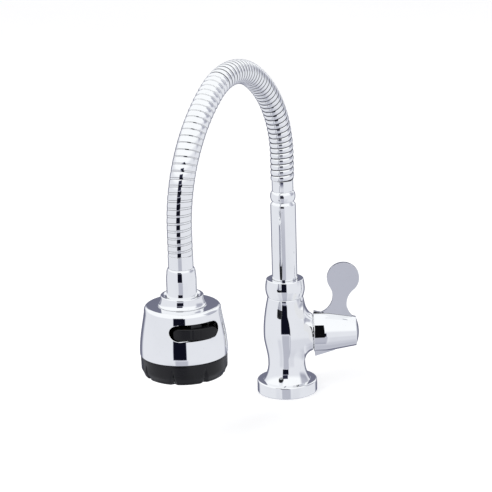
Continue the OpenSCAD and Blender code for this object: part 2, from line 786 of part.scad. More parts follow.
// Waterway, deck and skirt that the bell, the selector and the nozzle ring are built on.
module head_core() {
    low = core_top - 12;
    color("lightgray") difference() {
        union() {
            on_head() rod(14, deck_z, core_top - 0.2);
            on_head() rod(core_r - 2, deck_z, deck_z + deck_t);
            on_head() tube(core_r, core_in, core_bottom, deck_z + deck_t);
            on_head() tube(11.5, aerator_r + seat_gap, core_bottom + 1, deck_z + 1);
            // barrel of the diverter spool, and the ear over the rocker's pin
            on_selector() translate([spool_at, spool_len / 2 + 2, spool_z]) rotate([90, 0, 0])
                cylinder(h = spool_len + 4, r = spool_r + 1.4);
            on_selector() translate([10, -4, pad_z + pad_h + free_gap])
                cube([pin_at - 6, 8, 2.4]);
        }
        on_head() rod(socket_r, low, core_top + 1);
        on_selector() translate([spool_at, spool_len / 2 + 3, spool_z]) rotate([90, 0, 0])
            cylinder(h = spool_len + 6, r = spool_r + run_gap);
        // opening for the rocker's finger
        on_selector() translate([spool_at + spool_neck, -4, spool_z - 2.2]) cube([8, 8, 4.4]);
        // feed from the socket, and the two ways down to the jets and to the aerator
        on_selector() translate([4, 0, spool_z]) rotate([0, 90, 0])
            cylinder(h = spool_at - 4, r = 1.8);
        on_selector() translate([spool_at, 6.5, deck_z - 1]) cylinder(h = spool_z - deck_z, r = 1.6);
        on_selector() translate([spool_at, -6.5, deck_z - 1]) cylinder(h = spool_z - deck_z, r = 1.6);
        on_selector() translate([pin_at, 0, deck_z + 0.8]) cylinder(h = core_top - deck_z, r = pin_r + seat_gap);
    }
}

module nozzle_ring() {
    r = bell_d / 2 - 0.5;
    low_r = grip_d / 2;
    top = bell_bottom - free_gap;
    notch = 3.4;
    color([0.09, 0.09, 0.1]) on_head() difference() {
        rotate_extrude() polygon(concat(
            [[core_r + seat_gap, top], [r, top], [r - 0.2, face_z + grip_h * 0.35]],
            arc_points([low_r - 1.6, face_z + 2], 2, 5, -90, 6),
            [[face_r, face_z], [face_r, face_z + 1.8], [core_r + seat_gap, face_z + 1.8]]));
        // finger notches, wide at the lower edge
        for (i = [0:notch_n - 1]) rotate([0, 0, 360 / notch_n * i + 11])
            translate([r, 0, face_z - 0.5]) rotate([0, -5, 0]) rotate([0, 0, 45])
                translate([-notch / 2, -notch / 2, 0]) cube([notch, notch, grip_h - 3.5]);
    }
}

module spray_plate() {
    color("darkgray") on_head() difference() {
        union() {
            rod(core_r - 0.3, plate_z, plate_z + plate_t);
            rod(face_r - 0.4, face_z - 0.4, plate_z + 1);
        }
        rod(aerator_r + 1, face_z - 1, plate_z + plate_t + 1);
        for (i = [0:jet_n - 1]) rotate([0, 0, 360 / jet_n * i])
            translate([jet_ring - (i % 2) * 4, 0, face_z - 1])
                cylinder(h = plate_t + 6, r = jet_r + seat_gap, $fn = 24);
    }
}

// Rubber mat whose nipples fill the plate's holes.
module nozzle_mat() {
    z = plate_z + plate_t;
    color("dimgray") on_head() difference() {
        union() {
            tube(core_in - 0.4, aerator_r + 2.7, z, z + mat_t);
            for (i = [0:jet_n - 1]) rotate([0, 0, 360 / jet_n * i])
                translate([jet_ring - (i % 2) * 4, 0, face_z - 0.9])
                    cylinder(h = z - face_z + 1, r = jet_r, $fn = 24);
        }
        for (i = [0:jet_n - 1]) rotate([0, 0, 360 / jet_n * i])
            translate([jet_ring - (i % 2) * 4, 0, face_z - 2])
                cylinder(h = 12, r = 0.35, $fn = 16);
    }
}

module plate_seal() {
    color("black") on_head() tube(core_r - 0.1, core_in, plate_z + plate_t, core_bottom);
}

module aerator() {
    color("white") on_head() difference() {
        union() {
            rod(aerator_r, face_z - 0.2, face_z + 11);
            rod(aerator_r + 0.9, face_z - 0.2, face_z + 1.4);
        }
        rod(aerator_r - 1.4, face_z + 2.2, face_z + 12);
        for (x = [-2:2], y = [-2:2]) if (x * x + y * y < 7)
            translate([x * 2.7, y * 2.7, face_z]) cube([2, 2, 9], center = true);
    }
}

module aerator_mesh() {
    color("silver") on_head() difference() {
        rod(aerator_r - 1.5, face_z + 5, face_z + 6);
        for (x = [-3:3], y = [-3:3]) if (x * x + y * y < 10)
            translate([x * 2, y * 2, face_z + 5.5]) cube([1.2, 1.2, 3], center = true);
    }
}

module selector_pin() {
    color("gray") on_selector() translate([pin_at, 0, 0])
        rod(pin_r, deck_z + 1, pad_z + pad_h + free_gap + 2);
}

// The rocker follows the bell's curve and rests pressed in on one side.
module selector_rocker() {
    r_in = pad_r - pad_t;
    top = pad_z + pad_h;
    color([0.07, 0.07, 0.08]) on_selector() translate([pin_at, 0, 0]) rotate([0, 0, -rock])
        translate([-pin_at, 0, 0]) difference() {
            union() {
                intersection() {
                    tube(pad_r, r_in, pad_z, top);
                    translate([0, 0, (pad_z + top) / 2]) rotate([90, 0, 90])
                        linear_extrude(40) {
                            square([pad_len - pad_h, pad_h], center = true);
                            for (s = [-1, 1]) translate([s * (pad_len - pad_h) / 2, 0])
                                circle(d = pad_h);
                        }
                }
                translate([pin_at, 0, 0]) rod(2.5, pad_z, top);
                translate([pin_at, -2.2, pad_z]) cube([r_in - pin_at + 1, 4.4, pad_h]);
                translate([spool_at + spool_neck + free_gap, -1.2, spool_z - 1.2])
                    cube([pin_at - spool_at - spool_neck - 2, 2.4, 2.4]);
            }
            translate([pin_at, 0, 0]) rod(pin_r + run_gap, pad_z - 1, top + 1);
        }
}

module diverter_spool() {
    color("ivory") on_selector() translate([spool_at, spool_shift, spool_z]) rotate([90, 0, 0])
        difference() {
            cylinder(h = spool_len - 4, r = spool_r, center = true);
            difference() {
                cylinder(h = 3.4, r = spool_r + 1, center = true);
                cylinder(h = 5, r = spool_neck, center = true);
            }
            for (s = [-1, 1]) translate([0, 0, s * 6]) difference() {
                cylinder(h = 1.9, r = spool_r + 1, center = true);
                cylinder(h = 3, r = spool_r - 1.1, center = true);
            }
        }
}

module spool_seals() {
    color("black") on_selector() translate([spool_at, spool_shift, spool_z]) rotate([90, 0, 0])
        for (s = [-1, 1]) translate([0, 0, s * 6]) rotate_extrude()
            translate([spool_r - 0.5, 0]) circle(r = 0.55, $fn = 24);
}

base_flange();
deck_gasket();
valve_body();
collar_nut();
headwork_housing();
headwork_seal();
seat_seal();
fixed_disc();
moving_disc();
spindle();
spindle_seals();
spindle_clip();
lever_handle();
set_screw();
hub_cap();
riser_tube();
swivel_spigot();
spigot_seals();
glide_ring();
hose_ferrule();
lower_barb();
barb_seal();
lower_crimp();
water_liner();
gooseneck(0);  // gooseneck_01
gooseneck(1);  // gooseneck_02
gooseneck(2);  // gooseneck_03
gooseneck(3);  // gooseneck_04
gooseneck(4);  // gooseneck_05
gooseneck(5);  // gooseneck_06
gooseneck(6);  // gooseneck_07
gooseneck(7);  // gooseneck_08
gooseneck(8);  // gooseneck_09
gooseneck(9);  // gooseneck_10
hose_end_sleeve();
neck_sleeve();
head_spigot();
head_seals();
upper_crimp();
neck_ring();
bell_housing();
head_core();
nozzle_ring();
spray_plate();
nozzle_mat();
plate_seal();
aerator();
aerator_mesh();
selector_pin();
selector_rocker();
diverter_spool();
spool_seals();
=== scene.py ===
from math import acos, asin, atan2, copysign, cos, degrees, exp, hypot, pi, radians, sin, sqrt
from types import SimpleNamespace

import bmesh
import bpy
from bpy.props import FloatProperty, FloatVectorProperty, IntProperty, PointerProperty
from mathutils import Matrix, Vector


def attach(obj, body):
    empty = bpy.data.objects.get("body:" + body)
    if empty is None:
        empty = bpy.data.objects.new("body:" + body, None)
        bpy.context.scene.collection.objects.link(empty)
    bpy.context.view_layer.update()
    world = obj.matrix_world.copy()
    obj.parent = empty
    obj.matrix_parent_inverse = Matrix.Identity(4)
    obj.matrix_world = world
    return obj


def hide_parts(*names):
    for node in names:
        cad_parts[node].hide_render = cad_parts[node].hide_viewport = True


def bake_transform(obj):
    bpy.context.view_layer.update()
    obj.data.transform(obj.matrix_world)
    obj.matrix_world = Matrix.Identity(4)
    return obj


bl_info = {
    "name": "Gooseneck Tap",
    "version": (1, 0, 0),
    "blender": (4, 5, 0),
    "location": "View3D > Sidebar > Tap",
    "description": "Dresses a deck tap with a ribbed gooseneck and a two-way spray head",
    "category": "Add Mesh",
}

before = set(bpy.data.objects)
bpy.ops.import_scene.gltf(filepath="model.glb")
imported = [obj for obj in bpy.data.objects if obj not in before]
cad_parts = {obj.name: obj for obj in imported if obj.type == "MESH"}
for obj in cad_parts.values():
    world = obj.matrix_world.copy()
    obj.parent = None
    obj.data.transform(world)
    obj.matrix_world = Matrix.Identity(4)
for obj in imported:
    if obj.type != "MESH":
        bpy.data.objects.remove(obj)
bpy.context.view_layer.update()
MM = 0.001
SLOTS = {
    "chromed_brass": "base_flange valve_body collar_nut lever_handle hub_cap riser_tube hose_ferrule "
                     "hose_end_sleeve neck_sleeve neck_ring bell_housing",
    "steel": "spindle_clip set_screw lower_crimp upper_crimp selector_pin aerator_mesh",
    "brass": "headwork_housing spindle swivel_spigot lower_barb head_spigot",
    "ceramic": "fixed_disc moving_disc",
    "grey_plastic": "spray_plate",
    "white_plastic": "glide_ring diverter_spool aerator water_liner",
    "black_plastic": "nozzle_ring selector_rocker head_core",
    "grey_rubber": "nozzle_mat",
    "black_rubber": "deck_gasket headwork_seal seat_seal spindle_seals spigot_seals barb_seal "
                    "head_seals plate_seal spool_seals",
}

# The hose's winding: steps to a turn, the wide band's share of a turn, the grooves' share, and
# the distance along the hose in millimetres up to which the bands are round and their narrow bands take the
# seams' painted shade.
PER_TURN = 8
WIDE = 0.72
GROOVE = 0.045
ROUND_TO = 150

# The camera: focal length and frame width in pixels, sensor width in millimetres, place in metres,
# and how far it looks down and leans to the side in degrees.
FOCAL, FRAME_WIDTH, SENSOR = 2005, 492, 36
EYE, PITCH, ROLL = (-0.030, -1.520, 0.566), 16.3, -1.7
AIM = (0, -0.03, 0.12)
FLOOR_GLOW = 0.31

# Dark patches of the surroundings that only reflections show, in front of the tap and behind it:
# azimuth from and to, height from and to, softness of the sides and of the ends, all in degrees,
# and how dark they are. Behind the tap the azimuth counts both ways.
FRONT_DARK = (
    (-26.5, 8, -14.4, 6, 1.2, 0.5, 0.992),
    (-27, 3, 8, 22.5, 1.5, 1.2, 0.97),
    (78, 124, 0, 44, 9, 8, 0.5),
    (-24, 4, 4, 10, 3, 2, 0.45),
    (-22, 11, -62, -15.2, 3, 1.2, 0.37),
    (-46, -26, -60, -20, 8, 5, 0.13),
    (14, 46, -60, -20, 8, 5, 0.11),
)
BACK_DARK = ((138, 200, -62, 4, 9, 6, 0.78), (160, 200, 4, 27, 8, 3, 0.80))

# Small cards before the lever that only reflections show: two corners in metres and a colour.
CARDS = (
    ("dark_card", (0.0215, -0.024, 0.0456), (0.0310, -0.024, 0.0742), (0.004, 0.004, 0.005)),
    ("light_card", (0.0207, -0.024, 0.0430), (0.0207, -0.0149, 0.0780), (0.84, 0.85, 0.87)),
)


def length(label, mm, about):
    return FloatProperty(name=label, description=about, default=mm * MM, min=0.0, precision=4,
                         unit="LENGTH")


def rotation(label, value, about):
    return FloatProperty(name=label, description=about, default=radians(value), subtype="ANGLE",
                         unit="ROTATION")


def tint(label, value, about):
    return FloatVectorProperty(name=label, description=about, default=value, size=3, min=0.0, max=1.0,
                               subtype="COLOR")


class TapSizes(bpy.types.PropertyGroup):
    flange_d: length("Flange diameter", 48, "Diameter of the round deck flange")
    flange_h: length("Flange height", 10, "Height of the deck flange")
    foot_d: length("Foot diameter", 38, "Diameter of the body where it meets the flange")
    waist_d: length("Waist diameter", 29.6, "Diameter of the body's waist")
    belly_d: length("Belly diameter", 36, "Diameter of the body at the lever's axis")
    shoulder_d: length("Shoulder diameter", 28, "Diameter of the body under the collar")
    waist_z: length("Waist height", 24, "Height of the waist above the deck")
    valve_z: length("Lever height", 48.5, "Height of the lever's axis above the deck")
    shoulder_z: length("Shoulder height", 79.5, "Height of the body's shoulder above the deck")
    branch_d: length("Branch diameter", 29, "Diameter of the side branch")
    branch_x: length("Branch reach", 21.5, "Distance from the post's axis to the branch's end")
    blend_r: length("Branch blend", 3.2, "Softness of the joint between body and branch")
    inlet_d: length("Inlet diameter", 18.6, "Diameter inside the inlet's thread")
    collar_d: length("Collar diameter", 31.4, "Largest diameter of the collar nut")
    collar_top_d: length("Collar top", 29.8, "Diameter of the collar nut at its top edge")
    collar_h: length("Collar height", 14.6, "Height of the collar nut")
    skirt_d: length("Skirt diameter", 36, "Diameter of the lever hub's skirt")
    skirt_w: length("Skirt width", 7, "Width of the skirt along the lever's axis")
    hub_d1: length("Hub inner diameter", 31.4, "Diameter of the hub at the body")
    hub_d2: length("Hub outer diameter", 23.6, "Diameter of the hub at its outer end")
    hub_len: length("Hub length", 34, "Length of the lever hub with its skirt")
    cap_bulge: length("Cap bulge", 2.2, "Bulge of the hub's end cap")
    paddle_d: length("Paddle diameter", 25.6, "Diameter of the paddle's round end")
    paddle_t: length("Paddle thickness", 3.2, "Thickness of the paddle")
    paddle_h: length("Paddle height", 44.5, "Height of the paddle's round end above the lever's axis")
    riser_d: length("Riser diameter", 20, "Outer diameter of the riser tube")
    riser_top: length("Riser top", 155.5, "Height of the riser tube's upper end")
    bulb_d: length("Bulb diameter", 19.8, "Largest diameter of the bulb above the riser")
    bulb_h: length("Bulb height", 8.5, "Height of the bulb")
    sleeve_d: length("Sleeve diameter", 16.8, "Diameter of the sleeve under the hose")
    hose_d: length("Hose diameter", 18.5, "Outer diameter over the hose's turns")
    hose_z: length("Hose start", 175, "Height at which the hose starts")
    hose_straight: length("Straight ends", 18.5, "Straight length at each end of the hose")
    bend_r1: length("First bend", 83.5, "Radius of the bend above the riser")
    bend_r2: length("Top bend", 48.5, "Radius of the tight bend at the top")
    bend_r3: length("Last bend", 115, "Radius of the bend down to the head")
    rib_pitch: length("Rib pitch", 4.1, "Pitch of the ribs at the riser, by which the stretches are laid out")
    pitch: length("Turn pitch", 4.62, "Pitch of the hose's turns at the riser")
    pitch_dip: length("Pitch over the top", 1.2, "How much closer the turns lie over the top of the bend")
    pitch_gain: length("Pitch at the head", 0.65, "How much wider apart the turns lie at the head")
    neck_d: length("Neck diameter", 22.8, "Diameter of the neck sleeve above the head")
    ring_d: length("Top ring diameter", 31.8, "Diameter of the head's top ring")
    ring_h: length("Top ring height", 7.6, "Height of the head's top ring")
    bell_top_d: length("Bell top", 56.8, "Diameter of the bell's flat top")
    bell_d: length("Bell diameter", 65.2, "Largest diameter of the bell")
    bell_h: length("Bell height", 37, "Height of the chromed bell")
    bell_wall: length("Bell wall", 2, "Wall of the bell")
    grip_h: length("Nozzle ring height", 16, "Height of the nozzle ring that shows under the bell")
    grip_d: length("Nozzle ring lower edge", 59.6, "Diameter of the nozzle ring's lower edge")
    window_w: length("Window width", 38, "Width of the selector's window")
    window_h: length("Window height", 11.4, "Height of the selector's window")
    pad_len: length("Rocker length", 34.4, "Length of the rocker's pad")
    pad_h: length("Rocker height", 8.3, "Height of the rocker's pad")
    pad_r: length("Rocker curve", 31.2, "Radius of the rocker's outer face")
    pin_at: length("Rocker pin", 25, "Distance of the rocker's pin from the head's axis")
    bend_a1: rotation("First turn", 59, "Turn of the bend above the riser")
    bend_a2: rotation("Top turn", 67, "Turn of the tight bend at the top")
    spout_angle: rotation("Spout direction", 236.5, "Direction of the spout from the lever's axis")
    selector_angle: rotation("Selector direction", 54.5, "Direction of the selector from the spout's")
    rock: rotation("Rocker rest", 10, "Turn of the rocker at rest")
    ribs_each: IntProperty(name="Ribs", default=6, min=3,
                           description="Ribs that each stretch of the hose stands for")
    stretches: IntProperty(name="Stretches", default=10, min=2,
                           description="Stretches that the hose bends in")
    notch_n: IntProperty(name="Notches", default=8, min=3,
                         description="Finger notches in the nozzle ring")


class TapFinishes(bpy.types.PropertyGroup):
    chrome: tint("Chrome", (0.90, 0.905, 0.92), "Colour of the polished chrome")
    # The seams' colour is painted shade: a dark finish for the hose's groove faces and, near the riser, its
    # narrow bands.
    seam: tint("Seams", (0.05, 0.05, 0.06), "Colour deep in the hose's seams")
    black: tint("Black plastic", (0.006, 0.006, 0.008), "Colour of the nozzle ring and rocker")
    grey: tint("Grey plastic", (0.50, 0.51, 0.53), "Colour of the plastic inside the head")
    white: tint("White plastic", (0.80, 0.80, 0.77), "Colour of the white plastic pieces")
    brass: tint("Brass", (0.72, 0.52, 0.25), "Colour of the bare brass")
    steel: tint("Steel", (0.56, 0.56, 0.57), "Colour of the steel pieces")
    ceramic: tint("Ceramic", (0.86, 0.85, 0.82), "Colour of the valve's discs")
    rubber: tint("Black rubber", (0.024, 0.024, 0.024), "Colour of the seals")
    mat: tint("Grey rubber", (0.26, 0.27, 0.29), "Colour of the nozzle mat")
    floor: tint("Floor", (0.90, 0.90, 0.90), "Colour of the floor")


def sizes():
    """The sizes in millimetres and degrees."""
    group = bpy.context.scene.tap_sizes
    s = SimpleNamespace()
    for key in TapSizes.__annotations__:
        value = getattr(group, key)
        unit = TapSizes.bl_rna.properties[key].unit
        if unit == "LENGTH":
            value /= MM
        elif unit == "ROTATION":
            value = degrees(value)
        setattr(s, key, value)
    s.collar_top = s.shoulder_z + s.collar_h
    s.hub_x = s.branch_x + 0.5
    s.skirt_end = s.hub_x + s.skirt_w
    s.hub_end = s.hub_x + s.hub_len
    s.paddle_x = s.hub_x + 24.2
    s.screw_x = s.hub_x + 13.1
    s.bulb_z = s.riser_top + 2
    s.sleeve_z = s.bulb_z + s.bulb_h
    turns = (s.bend_a1, s.bend_a2, 180 - s.bend_a1 - s.bend_a2)
    s.bends, u, z, so_far, last = [], 0.0, s.hose_z + s.hose_straight, 0.0, 0.0
    for turn, r in zip(turns, (s.bend_r1, s.bend_r2, s.bend_r3)):
        u, z = u - (last - r) * cos(so_far), z + (last - r) * sin(so_far)
        s.bends.append((u, z, r, so_far, radians(turn)))
        so_far, last = so_far + radians(turn), r
    s.reach = u + last
    s.hose_end_z = z - s.hose_straight
    s.hose_len = 2 * s.hose_straight + sum(r * angle for *_, r, _, angle in s.bends)
    s.ribs = s.stretches * s.ribs_each
    s.rib_end = 2 * s.hose_len / s.ribs - s.rib_pitch
    s.winding = wind(s)
    s.turns = (len(s.winding) - 1) // PER_TURN
    s.taper_z = s.hose_end_z - 10
    s.neck_z = s.taper_z - 4
    s.ring_top = s.neck_z - 16.5
    s.bell_top = s.ring_top - s.ring_h
    s.bell_bottom = s.bell_top - s.bell_h
    s.face_z = s.bell_bottom - s.grip_h
    s.window_z = s.bell_top - 13.3
    s.pad_z = s.window_z - s.window_h / 2 + 0.4
    s.on_head = turned(s.spout_angle) @ shift(s.reach)
    s.on_selector = s.on_head @ turned(s.selector_angle)
    s.on_lever = shift(z=s.valve_z) @ turned(90, "Y")
    return s


# ---- finishes ----

def feed(tree, value, socket):
    """Gives a socket its value, which is a plain one or another socket."""
    if isinstance(value, bpy.types.NodeSocket):
        tree.links.new(value, socket)
    else:
        socket.default_value = value


def node(tree, kind, inputs=None, **settings):
    """The outputs of a new shader node; its inputs are fed by name or number."""
    made = tree.nodes.new(kind)
    for key, value in settings.items():
        setattr(made, key, value)
    for label, value in (inputs or {}).items():
        feed(tree, value, made.inputs[label])
    return made.outputs


def noise(tree, scale, detail=2.0, rough=0.5):
    """A noise texture on Object coordinates."""
    place = node(tree, "ShaderNodeTexCoord")["Object"]
    return node(tree, "ShaderNodeTexNoise",
                {"Vector": place, "Scale": scale, "Detail": detail, "Roughness": rough})["Fac"]


def remap(tree, value, low, high, to_low=0.0, to_high=1.0):
    """Maps value from low..high to to_low..to_high, smoothly."""
    return node(tree, "ShaderNodeMapRange",
                {"Value": value, "From Min": low, "From Max": high, "To Min": to_low, "To Max": to_high},
                interpolation_type="SMOOTHSTEP")["Result"]


def calc(tree, operation, a, b=0.0):
    """One step of arithmetic."""
    return node(tree, "ShaderNodeMath", {0: a, 1: b}, operation=operation)["Value"]


def times(tree, a, b):
    return calc(tree, "MULTIPLY", a, b)


def mix(tree, a, b, share):
    """Colour a, and colour b where share is 1."""
    return node(tree, "ShaderNodeMix", {"A": a, "B": b, "Factor": share}, data_type="RGBA")["Result"]


def shade(tree, color, darker, mask):
    """The colour, shifted towards a darker one where the mask is high."""
    return mix(tree, (*color, 1), (*(c * darker for c in color), 1), mask)


def group_of(name, inputs, build):
    """A shader node group, made once, with its inputs as (name, highest value, value)."""
    group = bpy.data.node_groups.get(name)
    if group:
        return group
    group = bpy.data.node_groups.new(name, "ShaderNodeTree")
    for label, high, value in inputs:
        socket = group.interface.new_socket(name=label, in_out="INPUT", socket_type="NodeSocketFloat")
        socket.min_value, socket.max_value, socket.default_value = 0, high, value
    for label in ("Roughness", "Mask", "Height"):
        group.interface.new_socket(name=label, in_out="OUTPUT", socket_type="NodeSocketFloat")
    start, end = group.nodes.new("NodeGroupInput"), group.nodes.new("NodeGroupOutput")
    for label, value in build(group, start.outputs).items():
        group.links.new(value, end.inputs[label])
    return group


def polish(tree, given):
    """Faint smears, a few dried water spots and the waviness of a polished metal."""
    smear = remap(tree, noise(tree, 45, 3.0), 0.42, 0.68)
    spots = remap(tree, noise(tree, 420, 1.0), 0.70, 0.76)
    dirt = calc(tree, "MAXIMUM", times(tree, smear, 0.7), spots)
    wave = noise(tree, given["Wave Scale"], 1.5)
    return {"Roughness": remap(tree, dirt, 0.0, 1.0, given["Clean"], given["Smeared"]), "Mask": dirt,
            "Height": calc(tree, "ADD", wave, times(tree, spots, 0.15))}


def grain(tree, given):
    """Fine grain and the cloudy shine of a moulded or cast skin."""
    fine = noise(tree, given["Grain Scale"], 3.0, 0.6)
    cloud = remap(tree, noise(tree, 60), 0.35, 0.70)
    dull = calc(tree, "ADD", times(tree, cloud, 0.7), times(tree, fine, 0.3))
    return {"Roughness": remap(tree, dull, 0.1, 0.9, given["Smooth"], given["Dull"]), "Mask": cloud,
            "Height": fine}


def new_material(name, color):
    """A material with its node tree and its Principled shader."""
    material = bpy.data.materials.new(name)
    material.use_nodes = True
    material.diffuse_color = (*color, 1)
    tree = material.node_tree
    return material, tree, tree.nodes["Principled BSDF"]


def surface(name, color, darker, group, values, depth, strength, own):
    """A material with a node group's marks, shine and bump, and its shader's own values."""
    material, tree, shader = new_material(name, color)
    skin = node(tree, "ShaderNodeGroup", values, node_tree=group)
    bump = node(tree, "ShaderNodeBump",
                {"Height": skin["Height"], "Distance": depth, "Strength": strength})
    own.update({"Base Color": shade(tree, color, darker, skin["Mask"]), "Roughness": skin["Roughness"],
                "Normal": bump["Normal"]})
    for label, value in own.items():
        feed(tree, value, shader.inputs[label])
    return material


def metal(name, color, clean, smeared, wave=60, darker=0.93):
    """A polished or satin metal."""
    group = group_of("Polish", [("Wave Scale", 1e4, 60), ("Clean", 1, 0.03), ("Smeared", 1, 0.12)], polish)
    return surface(name, color, darker, group, {"Wave Scale": wave, "Clean": clean, "Smeared": smeared},
                   0.00004, 0.3, {"Metallic": 1.0})


def moulded(name, color, smooth, dull, grit=2500, depth=0.00003, darker=0.8, coat=0.0, shine=0.5):
    """A moulded plastic, rubber or ceramic."""
    group = group_of("Grain", [("Grain Scale", 1e5, 2500), ("Smooth", 1, 0.3), ("Dull", 1, 0.5)], grain)
    return surface(name, color, darker, group, {"Grain Scale": grit, "Smooth": smooth, "Dull": dull},
                   depth, 0.4, {"Coat Weight": coat, "Coat Roughness": 0.15, "Specular IOR Level": shine})


# Per slot: kind, material, colour property, lowest and highest roughness, and what differs.
FINISHES = {
    "chromed_brass": (metal, "Polished chrome", "chrome", 0.02, 0.06, {"darker": 0.97}),
    # The seam row paints the shade of the hose's grooves and narrow bands as a dark metal.
    "seam": (metal, "Dark seam", "seam", 0.35, 0.55, {}),
    "steel": (metal, "Satin steel", "steel", 0.22, 0.38, {"wave": 400}),
    "brass": (metal, "Machined brass", "brass", 0.20, 0.34, {"wave": 300, "darker": 0.8}),
    "ceramic": (moulded, "Ground ceramic", "ceramic", 0.18, 0.30, {"coat": 0.3}),
    "grey_plastic": (moulded, "Grey plastic", "grey", 0.35, 0.50, {}),
    "white_plastic": (moulded, "White plastic", "white", 0.32, 0.46, {"darker": 0.93}),
    "black_plastic": (moulded, "Black satin plastic", "black", 0.24, 0.36,
                      {"depth": 0.00002, "darker": 0.75, "shine": 0.3}),
    "black_rubber": (moulded, "Black rubber", "rubber", 0.55, 0.75, {"grit": 1800}),
    "grey_rubber": (moulded, "Grey rubber", "mat", 0.50, 0.70, {"grit": 1800}),
}


def finish_of(slot):
    """The material of a slot of the record, or of the painted shade in the hose's seams, made once."""
    kind, name, key, low, high, more = FINISHES[slot]
    color = tuple(getattr(bpy.context.scene.tap_finishes, key))
    return bpy.data.materials.get(name) or kind(name, color, low, high, **more)


# ---- mesh tools ----

def clamp(x):
    """x within 0 to 1."""
    return min(1.0, max(0.0, x))


def smooth(x):
    """An even step from 0 to 1."""
    x = clamp(x)
    return x * x * (3 - 2 * x)


def arc(cx, cz, r, start, stop, n, tall=None):
    """Points of an arc between two angles in degrees, or of an ellipse's when tall is given."""
    angles = [radians(start + (stop - start) * i / n) for i in range(n + 1)]
    return [(cx + r * cos(a), cz + (tall or r) * sin(a)) for a in angles]


def ring(inner, outer, low, high):
    """Section of a plain ring."""
    return [(inner, low), (outer, low), (outer, high), (inner, high)]


def outward(bm):
    bmesh.ops.recalc_face_normals(bm, faces=bm.faces[:])


def moved(bm, matrix):
    bmesh.ops.transform(bm, matrix=matrix, verts=bm.verts[:])
    return bm


def shift(x=0.0, y=0.0, z=0.0):
    return Matrix.Translation((x, y, z))


def turned(angle, axis="Z"):
    return Matrix.Rotation(radians(angle), 4, axis)


def wire(bm, points, closed=False):
    """Vertices at the points, and the edges that join them in a line or a loop."""
    verts = [bm.verts.new(co) for co in points]
    ends = verts[1:] + (verts[:1] if closed else [])
    return verts, [bm.edges.new(pair) for pair in zip(verts, ends)]


def spun(outline, steps=160, closed=False):
    """A bmesh turned from an outline of (radius, height) points."""
    bm = bmesh.new()
    verts, edges = wire(bm, [(r, 0, z) for r, z in outline], closed)
    bmesh.ops.spin(bm, geom=verts + edges, cent=(0, 0, 0), axis=(0, 0, 1), angle=2 * pi, steps=steps,
                   use_merge=True, use_duplicate=False)
    bmesh.ops.remove_doubles(bm, verts=bm.verts[:], dist=1e-4)
    outward(bm)
    return bm


def rounded(bm, edges, rounding, segments):
    """Rounds edges."""
    bmesh.ops.bevel(bm, geom=edges, offset=rounding, offset_type="OFFSET", segments=segments, profile=0.5,
                    affect="EDGES", material=-1, clamp_overlap=True)


def round_rings(bm, corners, segments=4):
    """Rounds the ring-shaped edges at the given (radius, height, rounding)."""
    for radius, height, rounding in corners:
        near = {v for v in bm.verts if abs(hypot(v.co.x, v.co.y) - radius) < 2e-3
                and abs(v.co.z - height) < 2e-3}
        edges = [e for e in bm.edges if e.verts[0] in near and e.verts[1] in near]
        if not edges:
            raise RuntimeError("no edge at radius %.3f, height %.3f" % (radius, height))
        rounded(bm, edges, rounding, segments)


def pushed(bm, faces, vec, keep=False):
    """Extrudes faces along a vector and returns the moved ones."""
    out = bmesh.ops.extrude_face_region(bm, geom=faces, use_keep_orig=keep)["geom"]
    bmesh.ops.translate(bm, vec=vec, verts=[g for g in out if isinstance(g, bmesh.types.BMVert)])
    return [g for g in out if isinstance(g, bmesh.types.BMFace)]


def extruded(points, vec):
    """A bar whose section is a loop of points."""
    bm = bmesh.new()
    edges = wire(bm, points, True)[1]
    bmesh.ops.contextual_create(bm, geom=edges)
    pushed(bm, bm.faces[:], vec)
    outward(bm)
    return bm


def outlined(points, thickness, rounding, segments):
    """A plate from an outline in the XZ plane, centred on Y, its edges rounded."""
    bm = extruded([(x, -thickness / 2, z) for x, z in points], (0, thickness, 0))
    rims = [e for e in bm.edges if max(len(f.verts) for f in e.link_faces) > 4]
    rounded(bm, rims, rounding, segments)
    return bm


def block(low, high, rounding):
    """A box between two corners, its edges rounded."""
    bm = bmesh.new()
    bmesh.ops.create_cube(bm, size=1.0)
    low, high = Vector(low), Vector(high)
    bmesh.ops.scale(bm, vec=high - low, verts=bm.verts[:])
    bmesh.ops.translate(bm, vec=(low + high) / 2, verts=bm.verts[:])
    rounded(bm, bm.edges[:], rounding, 3)
    return bm


def mesh_of(name, bm):
    """A mesh from a bmesh, which is freed."""
    mesh = bpy.data.meshes.new(name)
    bm.to_mesh(mesh)
    bm.free()
    return mesh


def joined(*parts):
    """Several bmeshes as one."""
    whole = bmesh.new()
    for part in parts:
        mesh = mesh_of("part", part)
        whole.from_mesh(mesh)
        bpy.data.meshes.remove(mesh)
    return whole


def put(name, data):
    """A new object in the scene."""
    obj = bpy.data.objects.new(name, data)
    bpy.context.scene.collection.objects.link(obj)
    return obj


def mark_sharp(bm, sharp):
    """Smooth faces, and sharp edges where they meet at more than an angle in degrees."""
    for face in bm.faces:
        face.smooth = True
    for edge in bm.edges:
        edge.smooth = not (len(edge.link_faces) == 2 and edge.calc_face_angle(0.0) > radians(sharp))


def piece(name, bm, body, nodes=(), place=None, slot="chromed_brass", sharp=32, weighted=True):
    """Turns a bmesh in millimetres into a finished piece that stands for CAD nodes."""
    moved(bm, Matrix.Scale(MM, 4) @ (place or Matrix.Identity(4)))
    mark_sharp(bm, sharp)
    obj = put(name, mesh_of(name, bm))
    obj.data.materials.append(finish_of(slot))
    if weighted:
        even = obj.modifiers.new("Even normals", "WEIGHTED_NORMAL")
        even.keep_sharp = True
    if nodes:
        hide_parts(*nodes)
    if body:
        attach(obj, body)
    return obj


